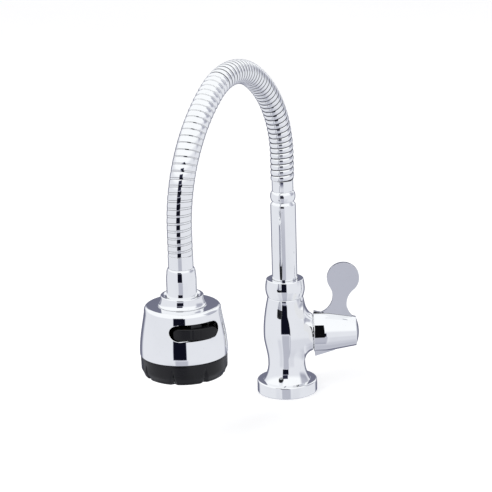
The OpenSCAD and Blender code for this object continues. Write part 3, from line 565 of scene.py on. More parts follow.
def carve(obj, cutter, place, sharp):
    """Cuts a bmesh in millimetres out of the piece."""
    mesh = mesh_of("cutter", moved(cutter, Matrix.Scale(MM, 4) @ place))
    tool = put("cutter", mesh)
    step = obj.modifiers.new("Cut", "BOOLEAN")
    step.operation, step.solver, step.object = "DIFFERENCE", "EXACT", tool
    bpy.context.view_layer.update()
    graph = bpy.context.evaluated_depsgraph_get()
    made = bpy.data.meshes.new_from_object(obj.evaluated_get(graph))
    obj.modifiers.remove(step)
    bpy.data.objects.remove(tool)
    bpy.data.meshes.remove(mesh)
    bm = bmesh.new()
    bm.from_mesh(made)
    bmesh.ops.remove_doubles(bm, verts=bm.verts[:], dist=1e-6)
    mark_sharp(bm, sharp)
    bm.to_mesh(obj.data)
    bm.free()
    bpy.data.meshes.remove(made)


# ---- post ----

class TAP_OT_base(bpy.types.Operator):
    """Make the deck flange with its rounded edges"""
    bl_idname = "tap.base"
    bl_label = "Deck Flange"

    def execute(self, context):
        s = sizes()
        r, h = s.flange_d / 2, s.flange_h
        bore, seat, foot, deep = 12.65, 15.5, r - 3.5, 2
        bm = spun([(bore, 0), (seat, 0), (seat, deep), (foot, deep), (foot, 0), (r, 0), (r, h), (bore, h)],
                  192, True)
        round_rings(bm, [(r, 0, 0.8), (r, h, 1.3)], 5)
        piece("flange_skin", bm, "base", ["base_flange"])
        return {"FINISHED"}


def body_radius(s, z):
    """Radius of the body's own turned shape at a height."""
    if z <= s.waist_z:
        t = clamp((z - s.flange_h) / (s.waist_z - s.flange_h))
        return s.waist_d / 2 + (s.foot_d - s.waist_d) / 2 * (1 - t) ** 2.2
    if z <= s.valve_z:
        t = (z - s.waist_z) / (s.valve_z - s.waist_z)
        return s.waist_d / 2 + (s.belly_d - s.waist_d) / 4 * (1 - cos(pi * t))
    t = clamp((z - s.valve_z) / (s.shoulder_z - s.valve_z))
    return s.shoulder_d / 2 + (s.belly_d - s.shoulder_d) / 2 * max(0.0, cos(pi / 2 * t)) ** 0.9


def soft_low(a, b, k):
    """The lower of two distances, rounded over k."""
    h = max(k - abs(a - b), 0.0) / k
    return min(a, b) - h * h * k / 4


def branch_gap(s, x, y, z):
    """About how far a point is outside the flared side branch."""
    end_r, mouth = s.branch_d / 2, s.branch_x + 4.5
    c = clamp((mouth - x) / (mouth - s.shoulder_d / 2))
    flare = 1 - sqrt(max(0.0, 1 - c * c))
    tall = (s.shoulder_z - 2 - s.valve_z) if z > s.valve_z else (s.valve_z - s.waist_z)
    half = end_r - 0.8 + (tall - end_r) * flare
    wide = end_r + 0.135 * max(0.0, s.branch_x - x)
    dz = z - s.valve_z
    q = hypot(y / wide, dz / half)
    slope = hypot(y / wide ** 2, dz / half ** 2) / max(q, 1e-6)
    side = (q - 1) / max(slope, 1e-3)
    return -soft_low(-side, -(x - s.branch_x), 0.9)


def skin_radius(s, dx, dy, z):
    """Distance of the body's skin from its axis, in a direction and at a height, found by halving."""
    edge = 0.6
    top = clamp((z - s.shoulder_z + edge) / edge)
    own = body_radius(s, z) - edge * (1 - sqrt(1 - top * top))
    if dx <= 0.05:
        return own
    low, high = 11.0, 30.0
    for _ in range(26):
        mid = (low + high) / 2
        side = -soft_low(-branch_gap(s, mid * dx, mid * dy, z), mid * dx - 4, 1e-3)
        if soft_low(mid - own, side, s.blend_r) > 0:
            high = mid
        else:
            low = mid
    return (low + high) / 2


class TAP_OT_body(bpy.types.Operator):
    """Make the valve body, whose side branch grows out of it, and its threaded inlet"""
    bl_idname = "tap.body"
    bl_label = "Valve Body"

    def execute(self, context):
        s = sizes()
        rows, z = [], s.flange_h
        while z < s.shoulder_z - 1e-6:
            rows.append(z)
            near_branch = abs(abs(z - s.valve_z) - s.branch_d / 2) < 3
            z += 0.25 if near_branch or z > s.shoulder_z - 2 else 0.55
        rows.append(s.shoulder_z)
        bm = spun([(0, s.flange_h)] + [(20.0, z) for z in rows] + [(0, s.shoulder_z)], 252)
        for v in bm.verts:
            flat = hypot(v.co.x, v.co.y)
            if flat > 1:
                dx, dy = v.co.x / flat, v.co.y / flat
                r = skin_radius(s, dx, dy, v.co.z)
                v.co.x, v.co.y = dx * r, dy * r
        outward(bm)
        lip = moved(spun(ring(12.0, 13.0, s.branch_x - 0.4, s.branch_x + 1.4), 96, True), s.on_lever)
        piece("valve_body_skin", joined(bm, lip), "base", ["valve_body"])
        r, wall, deep = s.inlet_d / 2, 12.6, 13.5
        thread = [(r + 0.15, 0.0)]
        for z in (0.9 + 1.3 * i for i in range(9)):
            thread += [(r + 0.75, z), (r, z + 0.45), (r, z + 0.6)]
        bm = spun(thread + [(r, deep), (0, deep), (0, deep + 1), (wall, deep + 1), (wall, 0)], 96)
        piece("inlet_thread", bm, "base")
        return {"FINISHED"}


class TAP_OT_collar(bpy.types.Operator):
    """Make the barrel-shaped collar nut and the riser tube that turns in it"""
    bl_idname = "tap.riser"
    bl_label = "Collar and Riser"

    def execute(self, context):
        s = sizes()
        low, top, rim, n = s.shoulder_z + 0.05, s.collar_top, 0.8, 24
        belt = s.shoulder_z + 0.45 * s.collar_h
        r, r0, r1 = s.collar_d / 2, s.shoulder_d / 2 + 0.4, s.collar_top_d / 2
        bore = s.riser_d / 2 + 0.3
        wall = [(r0 + (r - r0) * sin(pi / 2 * i / n), low + (belt - low) * i / n)
                for i in range(n + 1)]
        wall += [(r1 + (r - r1) * cos(pi / 2 * i / n), belt + (top - rim - belt) * i / n)
                 for i in range(1, n + 1)]
        wall += arc(r1 - rim, top - rim, rim, 12, 90, 8)
        bm = spun([(bore, low)] + wall + [(bore, top)], 192, True)
        round_rings(bm, [(r0, low, 0.5)])
        piece("collar_skin", bm, "base", ["collar_nut"])
        r, low, top = s.riser_d / 2, s.collar_top - 6, s.riser_top
        bore, plug, lip = r - 1.5, r - 1.55, r - 0.38
        wall = [(r - 0.16 * (i / 6) ** 2, top - 1.7 + 1.5 * i / 6) for i in range(7)]
        bm = spun([(bore, low), (r, low)] + wall + [(r - 0.24, top - 0.05), (lip, top), (bore, top)],
                  160, True)
        piece("riser_skin", bm, "spout", ["riser_tube"])
        bulb, low, bore, end = s.bulb_d / 2, s.sleeve_d / 2 - 0.6, 6.4, 76
        foot, step, sleeve, high = top + 0.01, s.sleeve_z + 0.35, s.sleeve_d / 2, s.hose_z - 0.05
        wall = arc(low, s.bulb_z + s.bulb_h / 2, bulb - low, -end, end, 38,
                   s.bulb_h / 2 / sin(radians(end)))
        bm = spun([(bore, top - 6), (plug, top - 6), (plug, foot), (lip, foot), (low + 0.35, s.bulb_z - 0.1),
                   (low + 0.2, s.bulb_z + 0.02)] + wall[1:]
                  + [(low, s.sleeve_z), (low, step), (sleeve, step), (sleeve, high), (bore, high)], 160, True)
        round_rings(bm, [(sleeve, step, 0.25), (sleeve, high, 0.5)])
        piece("ferrule_skin", bm, "spout", ["hose_ferrule"])
        return {"FINISHED"}


# ---- lever ----

def paddle_points(s):
    """Outline of the paddle, in distances along the lever's axis and above it."""
    r, (x, z) = s.paddle_d / 2, (s.paddle_x, s.paddle_h)
    (left_x, left_z), (right_x, right_z) = (8.55, 14.6), (2.55, 21.5)
    foot, low = 10.5, s.hub_x + 0.3

    def tangent(dx, dz):
        """Radius of the hollow curve that runs into the round end."""
        return (dx * dx + dz * dz - r * r) / (2 * (r - dx))
    left, right = tangent(left_x, left_z), tangent(right_x, right_z)
    cl = (x - left_x - left, z - left_z)
    cr = (x + right_x + right, z - right_z)
    to_r = degrees(atan2(cr[1] - z, cr[0] - x))
    to_l = degrees(atan2(cl[1] - z, cl[0] - x)) % 360
    start = 180 - degrees(asin((foot - cr[1]) / right))
    edge = degrees(acos((s.skirt_end - 1.5 - cl[0]) / left))
    points = arc(*cr, right, start, to_r + 180, 18) + arc(x, z, r, to_r, to_l, 60)[1:]
    points += arc(*cl, left, to_l - 180, -edge, 22)[1:]
    top = points.pop()[1]
    return points + [(s.skirt_end + 0.4, top - 0.2), (low, s.skirt_d / 2 - 0.3), (low, foot)]


class TAP_OT_lever(bpy.types.Operator):
    """Make the lever with its skirt, cone, paddle, screw boss and domed cap"""
    bl_idname = "tap.lever"
    bl_label = "Lever"

    def execute(self, context):
        s = sizes()
        x0, x1, x2, n = s.hub_x, s.skirt_end, s.hub_end, 40
        r1, r2, bore, lip, straight = s.hub_d1 / 2, s.hub_d2 / 2, 14.2, 0.6, 7
        seat, up = r2 - 0.9, shift(z=s.valve_z)
        steep = [0.010 + 0.145 * smooth((s.hub_len * i / n - straight) / straight) for i in range(n + 1)]
        fall = (r1 - r2) / sum(steep[:-1])
        flow = [(r1 - fall * sum(steep[:i]), x0 + s.hub_len * i / n) for i in range(n + 1)]
        bm = spun([(0, x1 - 1.5), (bore, x1 - 1.5), (bore, x0)] + flow
                  + [(seat, x2), (seat, x2 - lip), (0, x2 - lip)], 160)
        round_rings(bm, [(r1, x0, 0.4), (r2, x2, 0.5)])
        paddle = moved(outlined(paddle_points(s), s.paddle_t, 0.75, 5), up)
        piece("lever_skin", joined(moved(bm, s.on_lever), paddle), "lever", ["lever_handle"])
        drop, slant, near, far, root, wide = s.skirt_d / 2 + 1, 4.6, x0 + 0.8, x1 + 9.8, -8, 9
        boss = outlined([(near, -drop), (far, slant - drop), (far, root), (near, root)], wide, 1.0, 4)
        boss = piece("screw_boss_skin", moved(boss, up), "lever")
        screw_r, screw_len = 2.55, 14
        carve(boss, spun(ring(0, screw_r, 0, screw_len), 48), shift(s.screw_x, 0, s.valve_z - 22), 32)
        cap_r, bulge = r2 - 1.0, s.cap_bulge + 0.05
        ball = (cap_r ** 2 + bulge ** 2) / (2 * bulge)
        half = degrees(asin(cap_r / ball))
        dome = arc(0, x2 + bulge - ball, ball, 90 - half, 90, 14)
        bm = spun([(0, x2 - 3), (cap_r, x2 - 3)] + dome, 128)
        round_rings(bm, [(cap_r, x2, 0.3)], 3)
        piece("hub_cap_skin", bm, "lever", ["hub_cap"], s.on_lever)
        return {"FINISHED"}


# ---- hose ----

def on_route(s, d):
    """Distance from the post, height and angle turned so far, at a distance along the hose."""
    a = d - s.hose_straight
    if a <= 0:
        return 0.0, s.hose_z + d, 0.0
    for u, z, r, so_far, angle in s.bends:
        if a <= angle * r:
            t = so_far + a / r
            return u - r * cos(t), z + r * sin(t), t
        a -= angle * r
    return s.reach, s.hose_end_z + s.hose_straight - a, pi


def place_on_route(s, d, across, aside):
    """A point beside the route: across points away from the post before the hose turns."""
    u, z, t = on_route(s, d)
    a = radians(s.spout_angle)
    out = u + across * cos(t)
    return Vector((out * cos(a) - aside * sin(a), out * sin(a) + aside * cos(a),
                   z - across * sin(t)))


def rib_at(s, k):
    """Distance along the hose at which rib k starts; the stretches are laid out in ribs."""
    return s.rib_pitch * k + (s.rib_end - s.rib_pitch) * k * k / (2 * s.ribs)


def wind(s):
    """Distances along the hose, PER_TURN to a turn, of its winding, closest over the top."""
    top, spread, wider_from = 125, 36, 170
    at = [0.0]
    while at[-1] < s.hose_len or (len(at) - 1) % PER_TURN:
        d = at[-1]
        pitch = s.pitch - s.pitch_dip * exp(-((d - top) / spread) ** 2)
        at.append(d + (pitch + s.pitch_gain * smooth((d - wider_from) / 70)) / PER_TURN)
    return [d * s.hose_len / at[-1] for d in at]


def turn_at(s, k):
    """Distance along the hose at which turn k starts."""
    i = min(len(s.winding) - 2, max(0, int(k * PER_TURN)))
    return s.winding[i] + (k * PER_TURN - i) * (s.winding[i + 1] - s.winding[i])


def part_of(co):
    """Share of its turn at which a point of the straight winding lies."""
    return (co.z - atan2(co.y, co.x) / (2 * pi)) % 1.0


def band_outline():
    """Shares of a turn at the points of its outline, and whether each lies in a groove."""
    points = []
    for low, high, n in ((0.0, WIDE, 12), (WIDE, 1.0, 6)):
        points.append((low, True))
        points += [(low + GROOVE / 2 + (high - low - GROOVE) * i / n, False) for i in range(n + 1)]
        points.append((high - GROOVE / 2 + 0.01, True))
    return points


def band_depth(d, part):
    """Height of the skin over the hose's radius, below 0: bands are round at first, then flat."""
    low, high = (0.0, WIDE) if part < WIDE else (WIDE, 1.0)
    u = (part - low - GROOVE / 2) / (high - low - GROOVE)
    if not -0.01 < u < 1.01:
        return -1.2
    round_share = 1 - smooth((d - ROUND_TO) / 60)
    if part > WIDE:
        return -0.08 - 0.14 * u - 0.35 * round_share
    flat = 0.07 * (2 * u - 1) ** 2 + 0.22 * (1 - u) * smooth((d - 245) / 20)
    return -0.55 * round_share * (2 * u - 1) ** 2 - (1 - round_share) * flat


def narrow_share(d):
    """Share of a turn that its narrow band takes, at a distance along the hose."""
    return 0.09 + 0.19 * smooth((d - 205) / 40)


def hose_stretch(s, first, last, sides=64):
    """The wound strip from one turn to another, a wide band and a recessed one, with its inner wall."""
    n, r = last - first + 1, s.hose_d / 2
    fold, bore = r - 0.6, r - 1.6
    bm = bmesh.new()
    outline = [(fold if deep else r, 0, at) for at, deep in band_outline()] + [(fold, 0, 1.0)]
    verts, edges = wire(bm, outline)
    bmesh.ops.spin(bm, geom=verts + edges, cent=(0, 0, 0), axis=(0, 0, 1), dvec=(0, 0, 1 / sides),
                   angle=2 * pi * n, steps=sides * n, use_merge=False, use_duplicate=False)
    bmesh.ops.remove_doubles(bm, verts=bm.verts[:], dist=1e-3)
    for side, facing in ((1.0, -1), (float(n), 1)):
        bmesh.ops.bisect_plane(bm, geom=bm.verts[:] + bm.edges[:] + bm.faces[:], dist=1e-5,
                               plane_co=(0, 0, side), plane_no=(0, 0, facing), clear_outer=True)
    outward(bm)
    if sum(f.normal.xy.dot(f.calc_center_median().xy) for f in bm.faces) < 0:
        bmesh.ops.reverse_faces(bm, faces=bm.faces[:])
    out = bmesh.ops.extrude_edge_only(bm, edges=[e for e in bm.edges if len(e.link_faces) == 1])
    inner = {g for g in out["geom"] if isinstance(g, bmesh.types.BMVert)}
    for v in inner:
        flat = hypot(v.co.x, v.co.y)
        v.co.x, v.co.y = v.co.x / flat * bore, v.co.y / flat * bore
    loose = [e for e in bm.edges if len(e.link_faces) == 1 and set(e.verts) <= inner]
    bmesh.ops.bridge_loops(bm, edges=loose)
    tall = [e for e in bm.edges if abs(e.verts[0].co.z - e.verts[1].co.z) > n - 1.5]
    bmesh.ops.subdivide_edges(bm, edges=tall, cuts=2 * (n - 1) - 1)
    # Painted shade: groove faces, and the narrow bands up to ROUND_TO, take the dark seam finish in slot 1.
    for face in bm.faces:
        rim = sum(hypot(v.co.x, v.co.y) for v in face.verts) / len(face.verts)
        middle = face.calc_center_median()
        narrow = part_of(middle) > WIDE and turn_at(s, middle.z - 1.0 + first) < ROUND_TO
        face.material_index = 1 if narrow or rim < r - 0.25 else 0
    for v in bm.verts:
        whole = v.co.z - 1.0 + first
        flat, angle = hypot(v.co.x, v.co.y), atan2(v.co.y, v.co.x)
        if flat > r - 1.0:
            part, d = part_of(v.co), turn_at(s, whole)
            flat = r + band_depth(d, part)
            if part < WIDE:
                whole += part * (1 - narrow_share(d)) / WIDE - part
            else:
                whole += 1 - (1 - part) * narrow_share(d) / (1 - WIDE) - part
        v.co = place_on_route(s, turn_at(s, whole), flat * cos(angle), flat * sin(angle))
    outward(bm)
    return bm


def tube_stretch(s, start, stop, outer, inner, sides=32):
    """A plain tube along the route, between two distances."""
    n = max(2, round((stop - start) / 3))
    bm = spun([(inner, 0), (outer, 0)], sides)
    faces = bm.faces[:]
    for i in range(n):
        faces = pushed(bm, faces, (0, 0, 1), keep=i == 0)
    for v in bm.verts:
        v.co = place_on_route(s, start + (stop - start) * v.co.z / n, v.co.x, v.co.y)
    outward(bm)
    return bm


def bend(obj, s, j):
    """Bakes a piece's placing into its mesh; the ends of joint j of the hose are worked out but not used."""
    reach = 10
    ends = [place_on_route(s, rib_at(s, s.ribs_each * j) + d, 0, 0) * MM for d in (-reach, reach)]
    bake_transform(obj)


class TAP_OT_hose(bpy.types.Operator):
    """Make the wound gooseneck and the water hose in it, in pieces"""
    bl_idname = "tap.hose"
    bl_label = "Gooseneck"

    def execute(self, context):
        s = sizes()
        final, outer, bore = s.stretches, 5.5, 4.3
        middles = [rib_at(s, s.ribs_each * (j + 0.5)) for j in range(final)]
        cuts = [min(range(s.turns), key=lambda k: abs(turn_at(s, k) - d)) for d in middles]
        cuts = [0] + cuts + [s.turns]
        start, stop = -32.0, s.hose_len + s.hose_end_z - s.neck_z + 8.5
        ends = [start] + [turn_at(s, k) for k in cuts[1:-1]] + [stop]
        for i in range(final + 1):
            body = {0: "spout", final: "neck"}.get(i)
            strip = piece("gooseneck_strip_%02d" % i, hose_stretch(s, cuts[i], cuts[i + 1]), body,
                          ["gooseneck_%02d" % max(1, i)], weighted=False, sharp=50)
            # Slot 1 holds the seams' painted shade.
            strip.data.materials.append(finish_of("seam"))
            tube = piece("water_hose_%02d" % i, tube_stretch(s, ends[i], ends[i + 1], outer, bore), body,
                         ["water_liner"], slot="white_plastic", weighted=False)
            if body is None:
                bend(strip, s, i)
                bend(tube, s, i)
        return {"FINISHED"}


# ---- spray head ----

class TAP_OT_neck(bpy.types.Operator):
    """Make the sleeves above the head and the head's top ring"""
    bl_idname = "tap.neck"
    bl_label = "Neck"

    def execute(self, context):
        s = sizes()
        r, n = s.hose_d / 2, s.neck_d / 2
        top, low = s.hose_end_z - 0.05, s.taper_z
        bm = spun(ring(6.4, r, low, top), 160, True)
        round_rings(bm, [(r, top, 0.5), (r, low, 0.15)])
        piece("hose_end_skin", bm, "neck", ["hose_end_sleeve"], s.on_head)
        top, low, bore, step = s.taper_z - 0.05, s.bell_top + 2, 8.5, 0.25
        waist, mouth = n - step - 0.42, r + 0.15
        wall = [(n - step * smooth(i / 8), low + 5 + 3.6 * i / 8) for i in range(9)]
        wall += [(n - step - 0.42 * (i / 10) ** 2, s.neck_z - 5.2 + 5 * i / 10) for i in range(11)]
        wall += arc(mouth, s.neck_z - 0.2, waist - mouth, 10, 90, 8, top - s.neck_z + 0.2)
        bm = spun([(bore, low), (n, low)] + wall + [(bore, top)], 160, True)
        piece("neck_skin", bm, "neck", ["neck_sleeve"], s.on_head)
        r, top, seat, edge, lip, hollow = s.ring_d / 2, s.ring_top, 14.4, 0.7, 2.2, 1.3
        under, base, foot = s.bell_top - 1, s.bell_top + 0.06, s.bell_top + 0.5
        bore, spigot = n + 0.3, seat - 0.1
        flare = arc(r + lip, top - hollow, lip, 270, 180, 16, top - hollow - foot)
        dish = [(seat - (seat - bore) * i / 8, top - hollow * (1 - cos(pi * i / 8)) / 2) for i in range(9)]
        bm = spun([(bore, under), (spigot, under), (spigot, base), (r + lip, base)] + flare
                  + arc(r - edge, top - edge, edge, 0, 90, 8) + dish, 192, True)
        round_rings(bm, [(r + lip, base, 0.12)], 2)
        piece("top_ring_skin", bm, "head", ["neck_ring"], s.on_head)
        return {"FINISHED"}


def obround(width, height, n=28):
    """Outline of a bar with round ends, centred."""
    r = height / 2
    return arc(width / 2 - r, 0, r, -90, 90, n) + arc(r - width / 2, 0, r, 90, 270, n)


def bell_radius(s, z):
    """Outside radius of the bell at a height."""
    t = clamp((s.bell_top - 4 - z) / (s.bell_h - 5))
    low, high = s.bell_d / 2, s.bell_top_d / 2
    return high + (low - high) * sin(pi / 2 * t ** 1.15)


def window_rim(s):
    """The rounded rim that lines the window, bent to the bell's curve."""
    section = [(0.0, -0.35), (0.08, -0.12), (0.25, 0.0), (0.42, -0.03), (0.55, -0.03), (0.55, -2.0),
               (0.0, -2.0)]
    bm = bmesh.new()
    path = obround(s.window_w, s.window_h)
    rings = []
    for i, (y, z) in enumerate(path):
        (y0, z0), (y1, z1) = path[i - 1], path[(i + 1) % len(path)]
        size = hypot(y1 - y0, z1 - z0)
        points = []
        for away, rise in section:
            side, high = y + (z1 - z0) / size * away, s.window_z + (z - (y1 - y0) / size * away)
            points.append((sqrt((bell_radius(s, high) + rise) ** 2 - side * side), side, high))
        rings.append(wire(bm, points, True)[1])
    for a, b in zip(rings, rings[1:] + rings[:1]):
        bmesh.ops.bridge_loops(bm, edges=a + b)
    bmesh.ops.remove_doubles(bm, verts=bm.verts[:], dist=1e-4)
    outward(bm)
    return bm


class TAP_OT_bell(bpy.types.Operator):
    """Make the chromed bell with its window"""
    bl_idname = "tap.bell"
    bl_label = "Bell"

    def execute(self, context):
        s = sizes()
        top, bottom, wall = s.bell_top, s.bell_bottom, s.bell_wall
        soft, edge, gap, hole_r = 3.2, 0.5, 0.9, 14.5
        high, low = s.bell_top_d / 2, s.bell_d / 2
        outer = arc(high - soft, top - soft, soft, 90, 10, 12)
        outer += [(bell_radius(s, z), z) for z in (top - 4 - (s.bell_h - 5) * i / 30 for i in range(1, 31))]
        outer += [(low, bottom + edge)] + arc(low - edge, bottom + edge, edge, -15, -90, 4)
        inner = [(r - wall, min(z, top - wall)) for r, z in outer if z > bottom + 0.6]
        bm = spun([(hole_r, top)] + outer + [(low - wall, bottom)] + inner[::-1] + [(hole_r, top - wall)],
                  224, True)
        bell = piece("bell_skin", bm, "head", ["bell_housing"], s.on_head, weighted=False)
        hole = extruded([(12, y, z) for y, z in obround(s.window_w + gap, s.window_h + gap)], (40, 0, 0))
        carve(bell, hole, s.on_selector @ shift(z=s.window_z), 28)
        piece("window_rim", window_rim(s), "head", (), s.on_selector, weighted=False)
        return {"FINISHED"}


class TAP_OT_nozzle(bpy.types.Operator):
    """Make the black nozzle ring with its finger notches"""
    bl_idname = "tap.nozzle"
    bl_label = "Nozzle Ring"

    def execute(self, context):
        s = sizes()
        r, low_r, top, foot = s.bell_d / 2 - 0.5, s.grip_d / 2, s.bell_bottom - 0.3, s.face_z
        high, bore, hole, seat = top - 0.4, 28.7, 24.6, foot + 1.8
        notch_top, notch_at, deepest, slope = foot + 12.4, 19, 2.3, 0.85
        turn, step = foot + s.grip_h * 0.35, 360 / s.notch_n
        side = [(r - 0.4, top), (r - 0.05, high)]
        side += [(r - 0.2 * i / 8, high - (high - turn) * i / 8) for i in range(1, 9)]
        curve = arc(low_r - 1.6, foot + 2, 2, 5, -90, 14)
        (a, b), (c, d) = side[-1], curve[0]
        side += [(a + (c - a) * t, b + (d - b) * t) for t in (0.33, 0.66)]
        bm = spun([(bore, top)] + side + curve + [(hole, foot), (hole, seat), (bore, seat)],
                  60 * s.notch_n, True)
        for v in bm.verts:
            flat, drop = hypot(v.co.x, v.co.y), notch_top - v.co.z
            if flat < low_r - 3.2 or drop < 0:
                continue
            angle = degrees(atan2(v.co.y, v.co.x)) - notch_at
            off = radians((angle + step / 2) % step - step / 2) * flat
            depth = min(deepest, 0.35 + 0.17 * drop) * min(1.0, drop / 1.5)
            bite = depth - slope * abs(off)
            bite = 0.5 * (bite + sqrt(bite * bite + 0.006)) if bite > -0.6 else 0.0
            if bite > 0.005:
                v.co.xy *= (flat - bite) / flat
        outward(bm)
        piece("nozzle_ring_skin", bm, "head", ["nozzle_ring"], s.on_head, "black_plastic", sharp=50)
        return {"FINISHED"}


class TAP_OT_rocker(bpy.types.Operator):
    """Make the rocker in the bell's window"""
    bl_idname = "tap.rocker"
    bl_label = "Selector Rocker"

    def execute(self, context):
        s = sizes()
        half, h, thick = s.pad_len / 2, s.pad_h / 2, 3.6
        crease_x, crease_width, crease_depth, soft = 3, 0.22, 0.28, 0.7
        bm = bmesh.new()
        bmesh.ops.create_grid(bm, x_segments=72, y_segments=14, size=1.0)
        for v in bm.verts:
            x = half * (0.35 * v.co.x + 0.65 * sin(pi / 2 * v.co.x))
            past = abs(x) - crease_x
            if abs(past) < 0.75:
                x = copysign(crease_x + max(-0.3, min(0.3, past * 0.4)), x)
            over = max(0.0, abs(x) - (half - h))
            v.co = Vector((x, v.co.y * sqrt(max(0.0, h * h - over * over)), 0))
        bmesh.ops.remove_doubles(bm, verts=bm.verts[:], dist=1e-3)
        outward(bm)
        pushed(bm, bm.faces[:], (0, 0, -thick))
        outward(bm)
        for v in bm.verts:
            if v.co.z > -0.1:
                edge = min(h - abs(v.co.y), half - abs(v.co.x))
                crease = crease_depth * exp(-((abs(v.co.x) - crease_x) / crease_width) ** 2)
                v.co.z -= crease + 0.5 * (1 - min(1.0, edge / soft)) ** 2
            a, r = v.co.x / s.pad_r, s.pad_r + v.co.z
            v.co = Vector((r * cos(a), r * sin(a), s.pad_z + h + v.co.y))
        outward(bm)
        low, high = s.pad_z, s.pad_z + s.pad_h
        stem = block((s.pin_at - 2, -2.2, low), (s.pad_r - 2.5, 2.2, high), 0.5)
        eye = moved(spun(ring(0, 2.5, low, high), 48), shift(s.pin_at))
        place = s.on_selector @ shift(s.pin_at) @ turned(-s.rock) @ shift(-s.pin_at)
        piece("rocker_skin", joined(bm, stem, eye), "selector", ["selector_rocker"], place,
              "black_plastic", sharp=40)
        return {"FINISHED"}


class TAP_OT_finishes(bpy.types.Operator):
    """Give the kept pieces inside the tap their finishes"""
    bl_idname = "tap.finishes"
    bl_label = "Inner Finishes"

    def execute(self, context):
        slots = {name: slot for slot, names in SLOTS.items() for name in names.split()}
        slots.update({name: "chromed_brass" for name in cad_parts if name.startswith("gooseneck_")})
        for name, slot in slots.items():
            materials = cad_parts[name].data.materials
            materials.clear()
            materials.append(finish_of(slot))
        return {"FINISHED"}


# ---- stage ----

def staged(name, bm, material):
    """A new object that belongs to the stage."""
    obj = put(name, mesh_of(name, bm))
    obj.data.materials.append(material)
    return obj


def light(name, place, size, power):
    """A soft lamp that shines at the tap and shows in no reflection."""
    lamp = bpy.data.lights.new(name, "AREA")
    lamp.shape, lamp.size, lamp.size_y = "RECTANGLE", size[0], size[1]
    lamp.energy = power
    obj = put(name, lamp)
    obj.location = place
    obj.rotation_mode = "QUATERNION"
    obj.rotation_quaternion = (Vector(AIM) - Vector(place)).to_track_quat("-Z", "Y")
    obj.visible_glossy = False


def in_patch(tree, azimuth, height, box):
    """A mask that is high inside a patch of the sky and fades to 0 round it."""
    a0, a1, e0, e1, soft_a, soft_e, mask = box
    for angle, low, high, soft in ((azimuth, a0, a1, soft_a), (height, e0, e1, soft_e)):
        rise = remap(tree, angle, radians(low - soft), radians(low + soft))
        fall = remap(tree, angle, radians(high - soft), radians(high + soft), 1.0, 0.0)
        mask = times(tree, times(tree, rise, fall), mask)
    return mask


def sky(tree):
    """The colour of the surroundings that reflections show."""
    place = node(tree, "ShaderNodeTexCoord")["Generated"]
    x, y, z = node(tree, "ShaderNodeSeparateXYZ", {0: place})
    azimuth = calc(tree, "ARCTAN2", x, times(tree, y, -1.0))
    height = calc(tree, "ARCSINE", z)
    level = times(tree, remap(tree, height, radians(6), radians(22), 1.0, 1.24),
                 remap(tree, height, radians(-80), radians(-38), 0.66, 1.0))
    for angle, boxes in ((azimuth, FRONT_DARK), (calc(tree, "ABSOLUTE", azimuth), BACK_DARK)):
        for box in boxes:
            rest = calc(tree, "SUBTRACT", 1.0, in_patch(tree, angle, height, box))
            level = times(tree, level, rest)
    tone = [times(tree, calc(tree, "POWER", level, power), share)
            for power, share in ((1.06, 0.845), (1.05, 0.862), (0.88, 0.905))]
    return node(tree, "ShaderNodeCombineColor", dict(enumerate(tone)))["Color"]


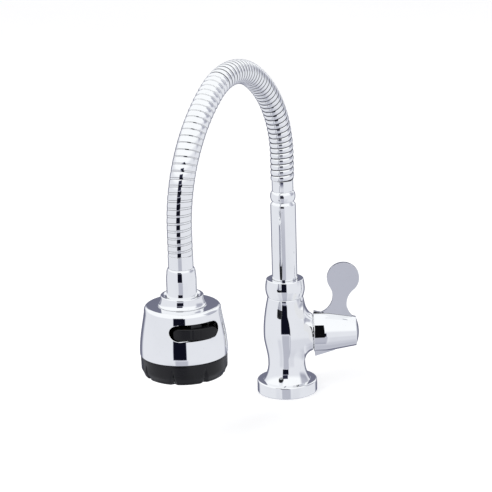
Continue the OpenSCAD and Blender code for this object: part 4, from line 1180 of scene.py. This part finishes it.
class TAP_OT_stage(bpy.types.Operator):
    """Make the floor, lights, surroundings and camera"""
    bl_idname = "tap.stage"
    bl_label = "Stage"

    def execute(self, context):
        scene = context.scene
        color = tuple(scene.tap_finishes.floor)
        material, tree, shader = new_material("Floor", color)
        cloud = remap(tree, noise(tree, 3.0), 0.3, 0.7)
        seen = node(tree, "ShaderNodeLightPath")["Is Camera Ray"]
        for label, value in (("Base Color", shade(tree, color, 0.985, cloud)), ("Roughness", 0.7),
                             ("Specular IOR Level", 0.2), ("Emission Color", (1, 1, 1, 1)),
                             ("Emission Strength", times(tree, seen, FLOOR_GLOW))):
            feed(tree, value, shader.inputs[label])
        bm = bmesh.new()
        bmesh.ops.create_grid(bm, x_segments=1, y_segments=1, size=6.0)
        staged("floor", bm, material).visible_glossy = False

        world = scene.world = bpy.data.worlds.new("Studio")
        world.use_nodes = True
        tree = world.node_tree
        rays = node(tree, "ShaderNodeLightPath")
        around = mix(tree, (0.72, 0.72, 0.73, 1), sky(tree), rays["Is Glossy Ray"])
        direct = calc(tree, "MAXIMUM", rays["Is Camera Ray"], rays["Is Transmission Ray"])
        feed(tree, mix(tree, around, (1, 1, 1, 1), direct), tree.nodes["Background"].inputs["Color"])

        for name, (x0, y0, z0), (x1, y1, z1), color in CARDS:
            bm = bmesh.new()
            bm.faces.new(wire(bm, [(x0, y0, z0), (x1, y1, z0), (x1, y1, z1), (x0, y0, z1)])[0])
            material = bpy.data.materials.new(name)
            material.use_nodes = True
            tree = material.node_tree
            tree.nodes.remove(tree.nodes["Principled BSDF"])
            glow = node(tree, "ShaderNodeEmission", {"Color": (*color, 1)})["Emission"]
            feed(tree, glow, tree.nodes["Material Output"].inputs["Surface"])
            card = staged(name, bm, material)
            for ray in ("camera", "diffuse", "shadow", "transmission"):
                setattr(card, "visible_" + ray, False)

        light("key", (-0.9, -0.9, 1.3), (0.9, 0.9), 9)
        light("fill", (1.2, -0.7, 0.9), (0.8, 1.2), 4)

        camera = bpy.data.cameras.new("camera")
        camera.sensor_width, camera.sensor_fit = SENSOR, "HORIZONTAL"
        camera.lens = FOCAL / FRAME_WIDTH * SENSOR
        camera.clip_start, camera.clip_end = 0.05, 50
        pitch, roll = radians(PITCH), radians(ROLL)
        right, up = Vector((1, 0, 0)), Vector((0, sin(pitch), cos(pitch)))
        ahead = Vector((0, cos(pitch), -sin(pitch)))
        right, up = cos(roll) * right + sin(roll) * up, cos(roll) * up - sin(roll) * right
        scene.camera = put("camera", camera)
        scene.camera.matrix_world = shift(*EYE) @ Matrix((right, up, -ahead)).transposed().to_4x4()
        scene.view_settings.view_transform = "Standard"
        return {"FINISHED"}


class TAP_PT_panel(bpy.types.Panel):
    """The tap's pieces"""
    bl_idname = "TAP_PT_panel"
    bl_label = "Gooseneck Tap"
    bl_space_type = "VIEW_3D"
    bl_region_type = "UI"
    bl_category = "Tap"

    def draw(self, context):
        column = self.layout.column()
        for step in STEPS:
            column.operator(step.bl_idname)
        column.separator()
        for group, kind in ((context.scene.tap_sizes, TapSizes), (context.scene.tap_finishes, TapFinishes)):
            for key in kind.__annotations__:
                column.prop(group, key)


STEPS = (TAP_OT_base, TAP_OT_body, TAP_OT_collar, TAP_OT_lever, TAP_OT_hose, TAP_OT_neck, TAP_OT_bell,
         TAP_OT_nozzle, TAP_OT_rocker, TAP_OT_finishes, TAP_OT_stage)
CLASSES = (TapSizes, TapFinishes) + STEPS + (TAP_PT_panel,)


def register():
    for kind in CLASSES:
        bpy.utils.register_class(kind)
    bpy.types.Scene.tap_sizes = PointerProperty(type=TapSizes)
    bpy.types.Scene.tap_finishes = PointerProperty(type=TapFinishes)


def unregister():
    del bpy.types.Scene.tap_finishes
    del bpy.types.Scene.tap_sizes
    for kind in reversed(CLASSES):
        bpy.utils.unregister_class(kind)


def main():
    register()
    bpy.ops.tap.base()
    bpy.ops.tap.body()
    bpy.ops.tap.riser()
    bpy.ops.tap.lever()
    bpy.ops.tap.hose()
    bpy.ops.tap.neck()
    bpy.ops.tap.bell()
    bpy.ops.tap.nozzle()
    bpy.ops.tap.rocker()
    bpy.ops.tap.finishes()
    bpy.ops.tap.stage()


if __name__ == "__main__":
    main()
